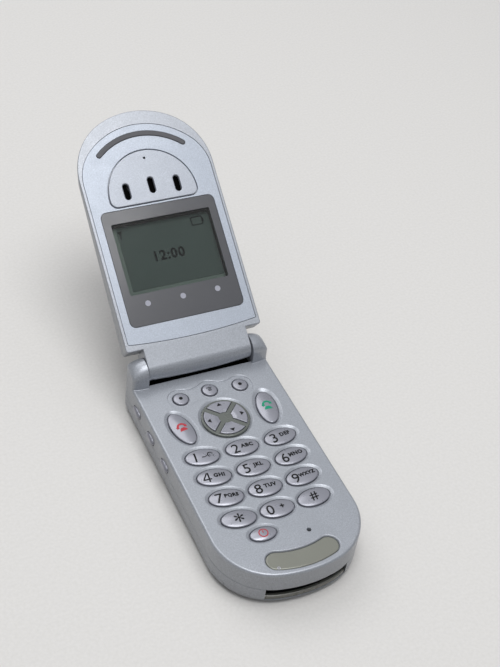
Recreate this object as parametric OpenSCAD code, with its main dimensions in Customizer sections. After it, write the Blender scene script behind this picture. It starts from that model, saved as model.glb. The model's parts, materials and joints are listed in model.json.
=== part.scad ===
// Flip phone: a keypad half with a round tip, and a lid that opens on a barrel between two knuckles.
// The origin is the centre of the flat back, +Z goes up through the keypad and +Y to the hinge.

/* [Keypad half] */
// Width of the keypad half
body_w = 43; // [42:0.5:46]
// Distance from the hinge axis to the round tip
body_reach = 78.1; // [77:0.1:84]
// Thickness under the keypad face
body_h = 12.5; // [12.3:0.1:14]
// Radius of the big corners beside the tip
corner_r = 17; // [14:0.5:18]
// How far behind their own radius the centres of those corners lie
corner_lag = 0.5; // [0.4:0.1:2]
// Radius of the back corners beside the hinge
back_corner_r = 3; // [2.8:0.1:4]
// Rounding of the edge around the keypad face
face_round = 0.8; // [0.4:0.1:1]
// Rounding of the edge around the flat back
back_round = 2.6; // [1.5:0.1:2.7]
// Height of the parting line between the two housings
parting_z = 6.2; // [6.1:0.1:6.5]
// Height of the battery door's rim
door_rim_z = 3; // [2.8:0.1:3.1]
// Wall of both housings
wall = 1.4; // [1.2:0.1:1.5]
// Thickness of the keypad face
face_t = 1.5; // [1.3:0.1:1.7]
// Thickness of the floor and of the battery door
floor_t = 1.1; // [0.9:0.1:1.2]

/* [Hinge] */
// Height of the hinge axis above the keypad face
axis_rise = 3.77; // [3.6:0.01:4.2]
// Angle from the closed lid to the open lid
open_angle = 145.4; // [120:0.1:150]
// Radius of the lid's barrel
barrel_r = 3.5; // [3.3:0.1:3.6]
// Radius of the two knuckles
knuckle_r = 3.9; // [3.7:0.1:4.1]
// Width of each knuckle
knuckle_w = 4.9; // [4.5:0.1:5.5]
// Gap between the barrel's ends and the knuckles
barrel_gap = 0.3; // [0.2:0.05:0.4]
// How far the keypad face stops before the hinge axis
recess_front = 3; // [2.9:0.1:3.2]
// Depth of the barrel's recess below the keypad face
recess_depth = 1.7; // [1:0.1:1.8]
// Radius of the pivot pin's and cam shaft's running ends
pivot_r = 1.25; // [1:0.05:1.3]
// Running clearance of the pivots, on the radius
pivot_fit = 0.05; // [0.03:0.01:0.08]
// Radius of the bore that holds the cam module
module_r = 2.2; // [2:0.05:2.3]

/* [Keys] */
// Distance from the hinge axis to the first row of digits
first_row = 33.5; // [33.2:0.1:34.5]
// Distance between the rows
row_pitch = 7.72; // [7.6:0.02:7.8]
// Distance from the middle column to the outer columns, in the first row
column_x = 12; // [11.8:0.1:12.4]
// How much closer the outer columns come with each row
column_step = 0.25; // [0:0.05:0.3]
// How much nearer to the hinge the outer keys lie
column_lift = 0.3; // [0:0.1:0.6]
// Tilt of the outer keys
key_tilt = 6; // [0:1:8]
// Half length of a digit key
digit_a = 4.95; // [4.6:0.05:5.05]
// Half height of a digit key
digit_b = 2.85; // [2.6:0.05:2.9]
// Half length of the two call keys
call_a = 6.2; // [5.8:0.1:6.4]
// Half width of the two call keys
call_b = 3; // [2.7:0.1:3.1]
// Distance of the call keys from the middle
call_x = 13.35; // [13.2:0.05:13.7]
// Distance of the call keys from the hinge axis
call_from_hinge = 21.5; // [21.2:0.1:21.8]
// Lean of the call keys away from the middle
call_lean = 9; // [0:1:12]
// Radius of the three top keys
top_key_r = 2.25; // [2:0.05:2.4]
// Distance of the outer top keys from the middle
top_key_x = 9.4; // [9.2:0.1:9.8]
// Distance of the outer top keys from the hinge axis
top_key_from_hinge = 10.75; // [10.5:0.05:11]
// How much nearer to the hinge the middle top key lies
top_key_lift = 0.75; // [0:0.05:1]
// Half length of the power key
power_a = 3.8; // [3.5:0.1:4]
// Half height of the power key
power_b = 2.2; // [2:0.1:2.3]
// Distance of the power key to the left of the middle
power_x = 7.2; // [7:0.1:7.5]
// Distance of the power key from the hinge axis
power_from_hinge = 63.15; // [63:0.05:63.6]
// Gap between a key and its hole
key_gap = 0.2; // [0.15:0.05:0.25]
// How far a key stands above the keypad face
key_rise = 0.3; // [0.25:0.05:0.5]
// Travel of every key
key_travel = 0.4; // [0.3:0.05:0.4]
// Width of the sunk rim around a key's hole
well_rim = 0.4; // [0.2:0.05:0.42]
// Depth of that sunk rim
well_depth = 0.25; // [0.15:0.05:0.35]
// Width of the flange that keeps a key in its hole
flange_w = 0.5; // [0.4:0.05:0.55]
// Thickness of that flange
flange_t = 0.7; // [0.5:0.05:0.75]

/* [Navigation keys] */
// Radius of the navigation frame
nav_r = 7.1; // [6.9:0.1:7.3]
// Distance of its centre from the hinge axis
nav_from_hinge = 21.8; // [21.7:0.1:22]
// Width of the frame's ring
nav_ring_w = 0.75; // [0.6:0.05:0.9]
// Width of the arms of its cross
nav_arm_w = 1.5; // [1.2:0.1:1.8]
// Radius of its hub
nav_hub_r = 2.1; // [1.8:0.1:2.4]

/* [Side keys] */
// Half length of a side key
side_key_a = 2.5; // [2.2:0.1:2.7]
// Half height of a side key
side_key_b = 1.3; // [1.1:0.05:1.35]
// How far a side key stands out of the wall
side_key_rise = 0.8; // [0.4:0.1:0.9]
// Height of the side keys' middle line
side_key_z = 7.95; // [7.9:0.05:8]
// Distance of the first side key from the hinge axis
side_key_first = 7.9; // [7.5:0.1:8.5]
// Distance between the side keys
side_key_pitch = 10.7; // [10:0.1:11.5]

/* [Nameplate, microphone and connector] */
// Half width of the nameplate
plate_half_w = 10.7; // [10:0.1:11]
// Distance from the hinge axis to the nameplate's lower edge
plate_from_hinge = 76.3; // [76:0.1:76.4]
// Radius of the nameplate's lower edge
plate_low_r = 27.7; // [26:0.1:30]
// Height of the nameplate's middle
plate_band = 5.3; // [5:0.1:5.5]
// Radius of the nameplate's ends
plate_end_r = 2.9; // [2.6:0.1:2.9]
// Thickness of the nameplate
plate_t = 0.6; // [0.4:0.1:0.7]
// How deep the nameplate sits below the keypad face
plate_sink = 0.1; // [0.05:0.05:0.15]
// Distance of the microphone to the right of the middle
mic_x = 4.9; // [4.5:0.1:5]
// Distance of the microphone from the hinge axis
mic_from_hinge = 66.1; // [66:0.1:66.5]
// Radius of the microphone's hole
mic_hole_r = 0.45; // [0.3:0.05:0.6]
// Radius of the microphone
mic_r = 2.4; // [2:0.1:2.5]
// Width of the accessory connector's mouth
slot_w = 26; // [22:0.5:26]
// Distance of the mouth's centre to the right of the middle
slot_x = 0.5; // [0:0.1:1]
// Height of the mouth's lower edge
slot_z = 3.7; // [3.6:0.1:4]
// Height of the connector's lip below the mouth
lip_h = 1.9; // [1.5:0.1:2]
// How far the lip lies inside the outline
lip_sink = 0.3; // [0.2:0.1:0.5]

/* [Lid] */
// How much narrower the lid is on each side
lid_side_step = 0.1; // [0:0.1:0.6]
// Distance from the hinge axis to the lid's round tip
lid_reach = 77.5; // [77.2:0.1:78]
// Thickness of the lid
lid_t = 7.4; // [7.2:0.1:8]
// Gap between the keypad face and the closed lid
closed_gap = 0.8; // [0.7:0.01:1]
// Radius of the lid's big corners
lid_corner_r = 19; // [18:0.5:19.5]
// How far behind their own radius the centres of those corners lie
lid_corner_lag = 0.5; // [0.4:0.1:1.5]
// Radius of the lid's corners at the hinge end
lid_heel_r = 0.8; // [0.6:0.1:1.2]
// Distance from the hinge axis to the lid's lower edge
lid_start = 5.4; // [5.3:0.1:5.8]
// Rounding of the lid's inner edge
inner_round = 0.4; // [0.3:0.1:0.6]
// Rounding of the lid's outer edge
outer_round = 2.5; // [2:0.1:2.8]
// Share of the outer housing's height that is lost from the hinge to the round tip
lid_taper = 0.45; // [0.2:0.05:0.45]
// Height of the lid's parting line above its inner face
lid_parting = 3.4; // [3.2:0.1:3.6]
// Wall of the lid's housings
lid_wall = 1.3; // [1.1:0.1:1.4]
// Thickness of the inner housing's face, with the panel's recess
lid_face_t = 1.4; // [1.3:0.1:1.5]

/* [Inner panel] */
// Width of the inner panel
panel_w = 40.9; // [40.5:0.1:41]
// Distance from the hinge axis to the panel's lower corners
panel_start = 7.4; // [7.2:0.1:8]
// How much closer to the hinge the bowed lower edge comes in its middle
panel_bow = 1.05; // [0.5:0.05:1.1]
// Distance from the hinge axis to the panel's tip
panel_reach = 73.15; // [73:0.05:73.5]
// Radius of the panel's big corners
panel_corner_r = 13.5; // [12.5:0.5:14]
// How far behind their own radius the centres of those corners lie
panel_corner_lag = 2.9; // [2.7:0.1:3.3]
// Thickness of the panel
panel_t = 0.8; // [0.7:0.05:0.9]
// Width of the display window
window_w = 36; // [35:0.1:37]
// Distance from the hinge axis to the window's lower edge
window_start = 12.2; // [11.8:0.1:12.4]
// Height of the window
window_h = 35.35; // [35:0.05:35.5]
// Radius of the window's corners
window_corner_r = 1.8; // [1:0.1:2.5]
// Width of the display's clear opening
view_w = 31.3; // [30:0.1:31.8]
// Distance from the hinge axis to the opening's lower edge
view_start = 21.65; // [21:0.05:22]
// Height of the opening
view_h = 22; // [21:0.1:22.5]
// Gap around the pieces that are let into the panel
seat_gap = 0.1; // [0.05:0.05:0.15]

/* [Earpiece and bumper] */
// Radius of the earpiece grille
grille_r = 13.8; // [13.5:0.1:14]
// Distance from the hinge axis to the grille's centre
grille_from_hinge = 50.85; // [50.7:0.05:51]
// Distance from the hinge axis to the grille's straight edge
grille_start = 48.45; // [48.3:0.05:48.6]
// Radius of the grille's two corners
grille_corner_r = 2.2; // [1.5:0.1:2.4]
// How far the grille stands proud of the panel
grille_proud = 0.15; // [0:0.05:0.2]
// Half width of a sound slot
sound_slot_r = 1; // [0.8:0.1:1.1]
// Length of a sound slot
sound_slot_l = 5; // [4:0.1:5.2]
// Distance between the sound slots
sound_slot_pitch = 8.05; // [7:0.05:8.5]
// Distance from the hinge axis to the middle sound slot
sound_slot_from_hinge = 53.55; // [53.4:0.05:54]
// How much lower the outer sound slots lie
sound_slot_drop = 0.8; // [0:0.1:1]
// Distance from the hinge axis to the pinhole above the slots
pinhole_from_hinge = 62.2; // [61.5:0.05:62.4]
// Radius of the pinhole
pinhole_r = 0.35; // [0.2:0.05:0.5]
// Outer radius of the bumper strip
strip_r = 21.6; // [21:0.1:21.8]
// Width of the bumper strip
strip_w = 1.5; // [1.2:0.1:1.8]
// Distance from the hinge axis to the bumper strip's outer edge
strip_reach = 70.75; // [70.6:0.05:70.95]
// Half angle of the bumper strip
strip_angle = 40; // [35:1:42]
// How far the bumper strip stands proud of the panel
strip_proud = 0.25; // [0.1:0.05:0.3]

/* [Inside the keypad half] */
// Underside of the main board
board_z = 7; // [6.95:0.01:7.05]
// Thickness of the main board
board_t = 1; // [0.8:0.05:1]
// Gap between the main board and the walls
board_gap = 0.3; // [0.2:0.05:0.5]
// Thickness of the dome sheet
sheet_t = 0.15; // [0.1:0.05:0.2]
// Height of a dome
dome_h = 0.5; // [0.4:0.05:0.55]
// Radius of a dome
dome_r = 2; // [1.8:0.1:2.1]
// Thickness of the keypad mat
mat_t = 0.55; // [0.4:0.05:0.6]
// Thickness of the deck between the battery and the main board
deck_t = 0.55; // [0.45:0.05:0.6]
// Height of the deck's underside
deck_z = 5.1; // [5:0.05:5.15]
// Space beside the battery for the door's hooks
battery_side = 3.6; // [3.4:0.1:5]
// Length of the battery
battery_l = 39; // [36:0.5:40]
// Distance from the hinge axis to the battery
battery_from_hinge = 10.1; // [10:0.1:10.4]
// Gap between the battery and its door
battery_gap = 0.15; // [0.1:0.05:0.25]
// Travel that frees the battery door's hooks
door_travel = 4; // [3.5:0.1:4.2]

/* [Hidden] */
$fn = 64;
over = 1;                                   // how far a cutting shape reaches past the surface it cuts
half_w = body_w / 2;
hinge_y = (body_reach - knuckle_r) / 2;     // the flat back's middle is the origin
tip_y = hinge_y - body_reach;
back_y = hinge_y + knuckle_r;
hinge_z = body_h + axis_rise;
ceiling_z = body_h - face_t;
inner_x = half_w - wall;
knuckle_in = half_w - knuckle_w;            // inner side of a knuckle
barrel_half = knuckle_in - barrel_gap;
recess_z = body_h - recess_depth;
recess_under_t = 1.2;                       // wall under the barrel's recess
recess_back_y = back_y - 1.1;               // inner side of the recess's back wall
back_lip = 0.2;                             // how far that wall stands above the keypad face
bulkhead_y = hinge_y - 68.1;                // the battery door's lower edge meets this wall
bulkhead_t = 1.2;
door_gap = 0.15;
face_clear = 0.05;                          // what is left under a pressed key
mat_top_z = ceiling_z - flange_t - key_travel - face_clear;
mat_z = mat_top_z - mat_t;
board_top_z = board_z + board_t;
sheet_top_z = board_top_z + sheet_t;
nub_z = sheet_top_z + dome_h + key_travel + face_clear;
nub_r = 1.2;
nub_hole_r = nub_r + 0.4;
pad_gap = 0.3;                              // between the pad layers and what stands in them
mat_tip_y = hinge_y - 66.6;
mat_back_y = hinge_y - recess_front - recess_under_t - 2.2;
nav_y = hinge_y - nav_from_hinge;
nav_seat_z = body_h - 0.8;                  // ledge that the navigation frame stands on
nav_inner_r = nav_r - nav_ring_w;
nav_ledge_r = nav_r - 0.3;
mic_y = hinge_y - mic_from_hinge;
slot_left = slot_x - slot_w / 2;
lip_z = slot_z - lip_h;
inner_d = axis_rise - closed_gap;           // from the hinge axis to the lid's inner face
lid_in_z = -inner_d;
lid_out_z = lid_t - inner_d;
lid_part_z = lid_in_z + lid_parting;
seat_z = lid_in_z + panel_t;                // floor of the panel's recess
lid_cavity_z = lid_in_z + lid_face_t;
lid_roof_z = lid_out_z - lid_wall;
strip_center = strip_reach - strip_r;
cam_seat_r = 1.8;                           // end of the cam shaft that is fixed in the left knuckle
pin_seat_r = 1.5;                           // end of the pivot pin that is fixed in the right knuckle
seat_skin = 1;                              // wall that is left outside those ends
shaft_in = 4.6;                             // how far shaft and pin reach into the barrel
module_l = 13;
module_end_t = 0.8;
bushing_l = 5;                              // solid end of the barrel that the pivot pin turns in
display_t = 1.5;
lid_board_z = lid_cavity_z + display_t;
lid_board_t = 0.6;
ribbon_w = 9;
ribbon_t = 0.25;
ribbon_x = -1;                              // left edge of the flex cable's ribbon
ribbon_gap = 0.3;
ribbon_end = lid_start + lid_wall + 4;
lid_overlap = 1.2;                          // how far the lid's board stays inside its end wall
boss_r = 2;
screw_x = inner_x - boss_r - 0.1;
screw_y = hinge_y - side_key_first - side_key_pitch / 2;
screw_r = 0.8;
screw_head_r = 1.4;
screw_head_h = 0.9;
screw_head_gap = 0.1;
screw_head_top = deck_z + deck_t / 2;
hook_from_hinge = [19, 52];                 // where the battery door's hooks stand
hook_w = 1.2;
battery_w = 2 * (inner_x - battery_side);
hook_x = battery_w / 2 + 0.8 + hook_w / 2;
hook_l = 1.4;
tongue_l = 2.4;
tongue_t = 0.7;
ledge_t = 0.55;
hook_gap = 0.08;
grip_grooves = 5;
grip_w = 18;
grip_pitch = 1.6;
grip_depth = 0.35;
grip_y = hinge_y - 58;
nub_in_nav = 4.4;                           // distance from the navigation centre to its keys' nubs
side_flange_t = 0.6;
side_flange_w = 0.4;
side_nub_r = 0.7;
side_nub_h = 0.8;
side_clear_x = inner_x - side_flange_t - side_nub_h - key_travel;    // end of a pressed side key
side_notch_x = side_clear_x - 1.1;          // where the board's notches for the side keys end
mat_half_w = side_clear_x - 0.7;
contact_half_w = 5;
contact_l = 2.4;
battery_back_y = hinge_y - battery_from_hinge;
battery_low_z = floor_t + battery_gap;
antenna_l = 8;
antenna_y = back_y - wall - antenna_l - 1.1;
inner_part_h = 2.7;                         // height of the antenna carrier and of the vibration motor
connector_l = 8;
connector_back_y = tip_y + connector_l;
tip_post_x = slot_w / 2 + 1;
lid_w = body_w - 2 * lid_side_step;

// name, column and row of each digit key
DIGIT_KEYS = [
    ["key_1", -1, 0], ["key_2", 0, 0], ["key_3", 1, 0],
    ["key_4", -1, 1], ["key_5", 0, 1], ["key_6", 1, 1],
    ["key_7", -1, 2], ["key_8", 0, 2], ["key_9", 1, 2],
    ["key_star", -1, 3], ["key_0", 0, 3], ["key_hash", 1, 3],
];
// name and side of each call key
CALL_KEYS = [["key_end", -1], ["key_send", 1]];
// name and place of each top key
TOP_KEYS = [["key_soft_left", -1], ["key_menu", 0], ["key_soft_right", 1]];
// name and direction of each navigation key
NAV_KEYS = [["key_nav_right", 0], ["key_nav_up", 90], ["key_nav_left", 180], ["key_nav_down", 270]];
// name and place of each key on the left wall, counted from the hinge
SIDE_KEYS = [["side_key_up", 0], ["side_key_down", 1], ["side_key_voice", 2]];
// name and side of each housing screw
SCREWS = [["screw_left", -1], ["screw_right", 1]];

silver = [0.66, 0.67, 0.70];
pale_silver = [0.78, 0.80, 0.86];
key_silver = [0.72, 0.71, 0.75];
olive = [0.46, 0.46, 0.40];
dark = [0.16, 0.16, 0.17];
steel = [0.75, 0.75, 0.76];
board_green = [0.10, 0.35, 0.22];
gold = [0.85, 0.68, 0.35];

// ---- Outlines ----

function arc(cx, cy, r, from, to, n) =
    [for (i = [0 : n]) let (a = from + (to - from) * i / n) [cx + r * cos(a), cy + r * sin(a)]];

// Outline with a straight end at y_end and a round tip at y_tip, drawn `inset` inside.
// Two big corners run tangent into the sides and into the flat arc of the tip. The end bulges by `bow`.
function phone_outline(half, y_tip, y_end, big_r, lag, end_r, inset = 0, bow = 0) =
    let (
        back = big_r + lag,
        tip_r = (pow(half - big_r, 2) + back * back - big_r * big_r) / (2 * lag),
        tip_cy = y_tip + tip_r,
        cx = half - big_r,
        cy = y_tip + back,
        join = atan2(cy - tip_cy, cx),
        er = max(0.05, end_r - inset),
        ex = half - inset - er,
        ey = y_end - inset - er
    )
    concat(
        arc(0, tip_cy, tip_r - inset, -90, join - (join + 90) / 3, 2),
        arc(cx, cy, big_r - inset, join, 0, 11),
        arc(ex, ey, er, 0, 90, 4),
        bow > 0 ? [for (k = [-0.8 : 0.2 : 0.81]) [-ex * k, ey + er + bow * (1 - k * k)]] : [],
        arc(-ex, ey, er, 90, 180, 4),
        arc(-cx, cy, big_r - inset, 180, 180 - join, 11),
        arc(0, tip_cy, tip_r - inset, -180 - join + (join + 90) / 3, -90 - (join + 90) / 3, 1)
    );

function body_outline(inset = 0) =
    phone_outline(half_w, tip_y, back_y, corner_r, corner_lag, back_corner_r, inset);

function lid_outline(inset = 0) =
    phone_outline(lid_w / 2, -lid_reach, -lid_start, lid_corner_r, lid_corner_lag, lid_heel_r, inset);

// Outline of the outer housing, drawn in more at the round tip and less at the hinge
function shell_outline(inset, thick = 0) =
    phone_outline(lid_w / 2, 0.8 * inset - lid_reach, 0.6 * inset - lid_start, lid_corner_r,
                  lid_corner_lag, lid_heel_r, inset + thick);

// Share of the outer housing's height that is left at y
function thinned(y) = 1 + lid_taper * (y + lid_start) / lid_reach;

// That outline at height z, or as much lower as the housing is thinner there
function shell_ring(inset, z, thick = 0) =
    [for (p = shell_outline(inset, thick))
        [p[0], p[1], lid_part_z + (z - lid_part_z) * thinned(p[1]) - thick]];

// Solid through a stack of outlines, each with its own height; all have the same number of points.
module loft(rings, heights) {
    loft_points([for (k = [0 : len(rings) - 1]) [for (p = rings[k]) [p[0], p[1], heights[k]]]]);
}

// The same from rings of points that have their own heights
module loft_points(rings) {
    n = len(rings[0]);
    top = len(rings) - 1;
    points = [for (ring = rings) each ring];
    sides = [for (k = [0 : top - 1]) for (i = [0 : n - 1])
        let (a = k * n + i, b = k * n + (i + 1) % n) each [[a, a + n, b], [b, a + n, b + n]]];
    floor_face = [for (i = [0 : n - 1]) i];
    roof_face = [for (i = [n - 1 : -1 : 0]) top * n + i];
    polyhedron(points, concat([floor_face], sides, [roof_face]));
}

module yz_extrude(half) {
    rotate([90, 0, 90]) linear_extrude(2 * half, center = true) children();
}

module oval(a, b, h) {
    linear_extrude(h) scale([a, b]) circle(r = 1);
}

// ---- Where the keys are ----

module at_digit(column, row) {
    x = column * (column_x - column_step * row);
    y = hinge_y - first_row - row_pitch * row + abs(column) * column_lift;
    translate([x, y, 0]) rotate([0, 0, column * key_tilt]) children();
}

module at_call(side) {
    translate([side * call_x, hinge_y - call_from_hinge, 0]) rotate([0, 0, 90 - side * call_lean]) children();
}

module at_top_key(place) {
    lift = (1 - abs(place)) * top_key_lift;
    translate([place * top_key_x, hinge_y - top_key_from_hinge + lift, 0]) children();
}

module at_power() {
    translate([-power_x, hinge_y - power_from_hinge, 0]) children();
}

module at_nav(direction) {
    translate([0, nav_y, 0]) rotate([0, 0, direction]) children();
}

// Draws its children under every key of the keypad face
module at_every_key() {
    for (k = DIGIT_KEYS) at_digit(k[1], k[2]) children();
    for (k = CALL_KEYS) at_call(k[1]) children();
    for (k = TOP_KEYS) at_top_key(k[1]) children();
    for (k = NAV_KEYS) at_nav(k[1]) translate([nub_in_nav, 0, 0]) children();
    at_power() children();
}

function side_key_y(place) = hinge_y - side_key_first - side_key_pitch * place;

module at_side_key(place) {
    translate([-half_w, side_key_y(place), side_key_z]) rotate([90, 0, -90]) children();
}

module at_screws() {
    for (k = SCREWS) translate([k[1] * screw_x, screw_y]) children();
}

// ---- Keypad half: housings ----

function round_steps(r) = [for (a = [0 : 22.5 : 90]) [r * (1 - cos(a)), r * sin(a)]];

module body_top_solid() {
    steps = round_steps(face_round);
    loft(concat([body_outline()], [for (s = steps) body_outline(s[0])]),
         concat([parting_z], [for (s = steps) body_h - face_round + s[1]]));
}

module body_bottom_solid(top_z) {
    steps = round_steps(back_round);
    last = len(steps) - 1;
    loft(concat([for (i = [last : -1 : 0]) body_outline(steps[i][0])], [body_outline()]),
         concat([for (i = [last : -1 : 0]) back_round - steps[i][1]], [top_z]));
}

module body_cavity(z0, z1, inset = wall) {
    loft([body_outline(inset), body_outline(inset)], [z0, z1]);
}

// The two ears that hold the hinge, rounded over at their outer ends
module knuckles() {
    shoulder = knuckle_in + 1.7;
    reach = half_w - shoulder;
    drop = knuckle_r - 1.7;
    ear = concat(
        [[knuckle_in, parting_z + over], [half_w, parting_z + over], [half_w, hinge_z]],
        [for (a = [15 : 15 : 90]) [shoulder + reach * cos(a), hinge_z + knuckle_r - drop * (1 - sin(a))]],
        [[knuckle_in, hinge_z + knuckle_r]]);
    intersection() {
        union() {
            translate([0, hinge_y, hinge_z]) rotate([0, 90, 0])
                cylinder(r = knuckle_r, h = body_w + over, center = true);
            translate([-half_w, hinge_y - knuckle_r, parting_z + over])
                cube([body_w, 2 * knuckle_r, hinge_z - parting_z - over]);
        }
        for (side = [0, 1]) mirror([side, 0, 0])
            translate([0, back_y + over, 0]) rotate([90, 0, 0])
                linear_extrude(4 * knuckle_r) polygon(ear);
        translate([0, 0, parting_z]) linear_extrude(2 * hinge_z) polygon(body_outline());
    }
}

module key_holes() {
    cut = body_h;
    for (k = DIGIT_KEYS) at_digit(k[1], k[2]) oval(digit_a + key_gap, digit_b + key_gap, cut + over);
    for (k = CALL_KEYS) at_call(k[1]) oval(call_a + key_gap, call_b + key_gap, cut + over);
    for (k = TOP_KEYS) at_top_key(k[1]) cylinder(r = top_key_r + key_gap, h = cut + over);
    at_power() oval(power_a + key_gap, power_b + key_gap, cut + over);
    translate([0, nav_y, 0]) cylinder(r = nav_ledge_r, h = cut + over);
    translate([0, nav_y, nav_seat_z]) cylinder(r = nav_r + face_clear, h = cut);
    translate([mic_x, mic_y, 0]) cylinder(r = mic_hole_r, h = cut + over);
}

module key_wells() {
    rim = key_gap + well_rim;
    translate([0, 0, body_h - well_depth]) {
        for (k = DIGIT_KEYS) at_digit(k[1], k[2]) oval(digit_a + rim, digit_b + rim, over);
        for (k = CALL_KEYS) at_call(k[1]) oval(call_a + rim, call_b + rim, over);
        at_power() oval(power_a + rim, power_b + rim, over);
        translate([0, nav_y, 0]) cylinder(r = nav_r + well_rim, h = over);
    }
}

// Shallow three-lobed step around the top keys
module top_key_field() {
    lobe_r = top_key_r + 1.5;
    bridge = 3.2;
    depth = 0.15;
    translate([0, 0, body_h - depth]) {
        for (k = TOP_KEYS) at_top_key(k[1]) cylinder(r = lobe_r, h = over);
        translate([-top_key_x, hinge_y - top_key_from_hinge + top_key_lift / 2 - bridge / 2, 0])
            cube([2 * top_key_x, bridge, over]);
    }
}

// Smile-shaped outline of the nameplate, drawn `grow` larger
module plate_shape(grow = 0) {
    low_y = hinge_y - plate_from_hinge;
    end_x = plate_half_w - plate_end_r;
    end_y = low_y + plate_end_r + plate_low_r - sqrt(pow(plate_low_r, 2) - pow(end_x, 2));
    top_r = plate_low_r - 2.3;
    intersection() {
        translate([0, low_y + plate_low_r]) circle(r = plate_low_r + grow);
        difference() {
            translate([-end_x, low_y - over]) square([2 * end_x, plate_band + 2 * over]);
            translate([0, low_y + plate_band + top_r]) circle(r = top_r - grow);
        }
    }
    for (side = [-1, 1]) translate([side * end_x, end_y]) circle(r = plate_end_r + grow);
}

module hinge_bore(from_x, to_x, r) {
    translate([from_x, hinge_y, hinge_z]) rotate([0, 90, 0]) cylinder(r = r, h = to_x - from_x);
}

module base_front_housing() {
    color(silver) difference() {
        union() {
            difference() {
                union() {
                    body_top_solid();
                    knuckles();
                }
                body_cavity(parting_z - over, ceiling_z);
            }
            translate([-knuckle_in - recess_under_t, hinge_y - recess_front - recess_under_t,
                       recess_z - recess_under_t])
                cube([2 * (knuckle_in + recess_under_t), recess_front + recess_under_t + knuckle_r - wall / 2,
                      recess_under_t + recess_depth / 2]);
            translate([-knuckle_in, recess_back_y, ceiling_z])
                cube([2 * knuckle_in, back_y - recess_back_y, face_t + back_lip]);
            at_screws() translate([0, 0, board_top_z])
                cylinder(r = boss_r, h = ceiling_z - board_top_z + face_t / 2);
        }
        translate([-knuckle_in, hinge_y - recess_front, recess_z])
            cube([2 * knuckle_in, recess_back_y - hinge_y + recess_front, 2 * hinge_z]);
        key_holes();
        key_wells();
        top_key_field();
        translate([0, 0, body_h - plate_t - plate_sink])
            linear_extrude(over + plate_t) plate_shape(seat_gap / 2);
        for (k = SIDE_KEYS) at_side_key(k[1]) translate([0, 0, -2 * wall])
            oval(side_key_a + key_gap, side_key_b + key_gap, 3 * wall);
        at_screws() translate([0, 0, parting_z]) cylinder(r = screw_r, h = ceiling_z - parting_z);
        hinge_bore(-half_w + seat_skin, -knuckle_in + over, cam_seat_r);
        hinge_bore(knuckle_in - over, half_w - seat_skin, pin_seat_r);
    }
}

module base_rear_housing() {
    color(silver) difference() {
        union() {
            difference() {
                body_bottom_solid(parting_z);
                body_cavity(floor_t, parting_z + over);
                translate([-body_w, bulkhead_y, -over])
                    cube([2 * body_w, body_reach + body_w, door_rim_z + over]);
            }
            // deck above the battery, and the wall that closes the tip's compartment
            intersection() {
                union() {
                    translate([-body_w / 2, bulkhead_y, deck_z]) cube([body_w, body_reach, deck_t]);
                    translate([-body_w / 2, bulkhead_y - bulkhead_t, floor_t / 2])
                        cube([body_w, bulkhead_t, deck_z + deck_t - floor_t / 2]);
                }
                body_cavity(0, parting_z + over, wall / 2);
            }
            at_screws() translate([0, 0, deck_z]) cylinder(r = boss_r, h = board_z - deck_z);
            for (side = [-1, 1]) translate([side * tip_post_x, bulkhead_y - bulkhead_t / 2, deck_z])
                cylinder(r = 1, h = board_z - deck_z);
            // ledges that the battery door's hooks slide under
            for (from = hook_from_hinge) for (side = [0, 1]) mirror([side, 0, 0])
                translate([hook_x - hook_w / 2, hinge_y - from - tongue_l, door_rim_z])
                    cube([inner_x + wall / 2 - hook_x + hook_w / 2, tongue_l - hook_gap, ledge_t]);
        }
        at_screws() {
            translate([0, 0, deck_z - over]) cylinder(r = screw_r, h = board_z - deck_z + 2 * over);
            translate([0, 0, screw_head_top - screw_head_h - over])
                cylinder(r = screw_head_r + screw_head_gap, h = screw_head_h + over);
        }
        translate([-contact_half_w - door_gap, battery_back_y - door_gap, deck_z - over])
            cube([2 * (contact_half_w + door_gap), contact_l + 2 * door_gap, deck_t + 2 * over]);
        translate([slot_left, tip_y - over, lip_z])
            cube([slot_w, connector_back_y - tip_y + over, parting_z]);
    }
}

// ---- Battery compartment ----

module battery_door() {
    tongue_z = door_rim_z + ledge_t + hook_gap - floor_t / 2;
    slide_cut = bulkhead_y + door_gap;
    color(silver) difference() {
        union() {
            difference() {
                body_bottom_solid(door_rim_z - 0.02);
                loft([body_outline(back_round + 0.3), body_outline(wall), body_outline(wall)],
                     [floor_t, back_round, parting_z]);
            }
            for (from = hook_from_hinge) for (side = [0, 1]) mirror([side, 0, 0])
                translate([hook_x - hook_w / 2, hinge_y - from, floor_t / 2]) {
                    cube([hook_w, hook_l, tongue_z + tongue_t]);
                    translate([0, -tongue_l, tongue_z]) cube([hook_w, tongue_l + hook_l, tongue_t]);
                }
        }
        translate([-body_w, tip_y - over, -over])
            cube([2 * body_w, slide_cut - tip_y + over, 2 * body_h]);
        for (i = [0 : grip_grooves - 1])
            translate([-grip_w / 2, grip_y + grip_pitch * i, -over])
                cube([grip_w, grip_pitch / 2, over + grip_depth]);
    }
}

module battery_pack() {
    edge = 1.2;
    half = battery_w / 2 - edge;
    thick = deck_z - battery_low_z;
    color(dark) translate([0, battery_back_y, battery_low_z + thick / 2]) rotate([90, 0, 0])
        linear_extrude(battery_l) {
            square([2 * half, thick], center = true);
            for (side = [-1, 1]) translate([side * half, 0]) scale([edge, thick / 2]) circle(r = 1);
        }
}

// Block under the main board with three sprung blades that press on the battery's end
module battery_contacts() {
    blade_w = 1.4;
    blade_pitch = 3.2;
    low_z = battery_low_z + 0.6;
    color(gold) {
        translate([-contact_half_w, battery_back_y + contact_l / 2, low_z])
            cube([2 * contact_half_w, contact_l / 2, board_z - low_z]);
        for (i = [-1 : 1]) translate([i * blade_pitch - blade_w / 2, battery_back_y, low_z + 0.5])
            cube([blade_w, contact_l, blade_w]);
    }
}

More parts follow.
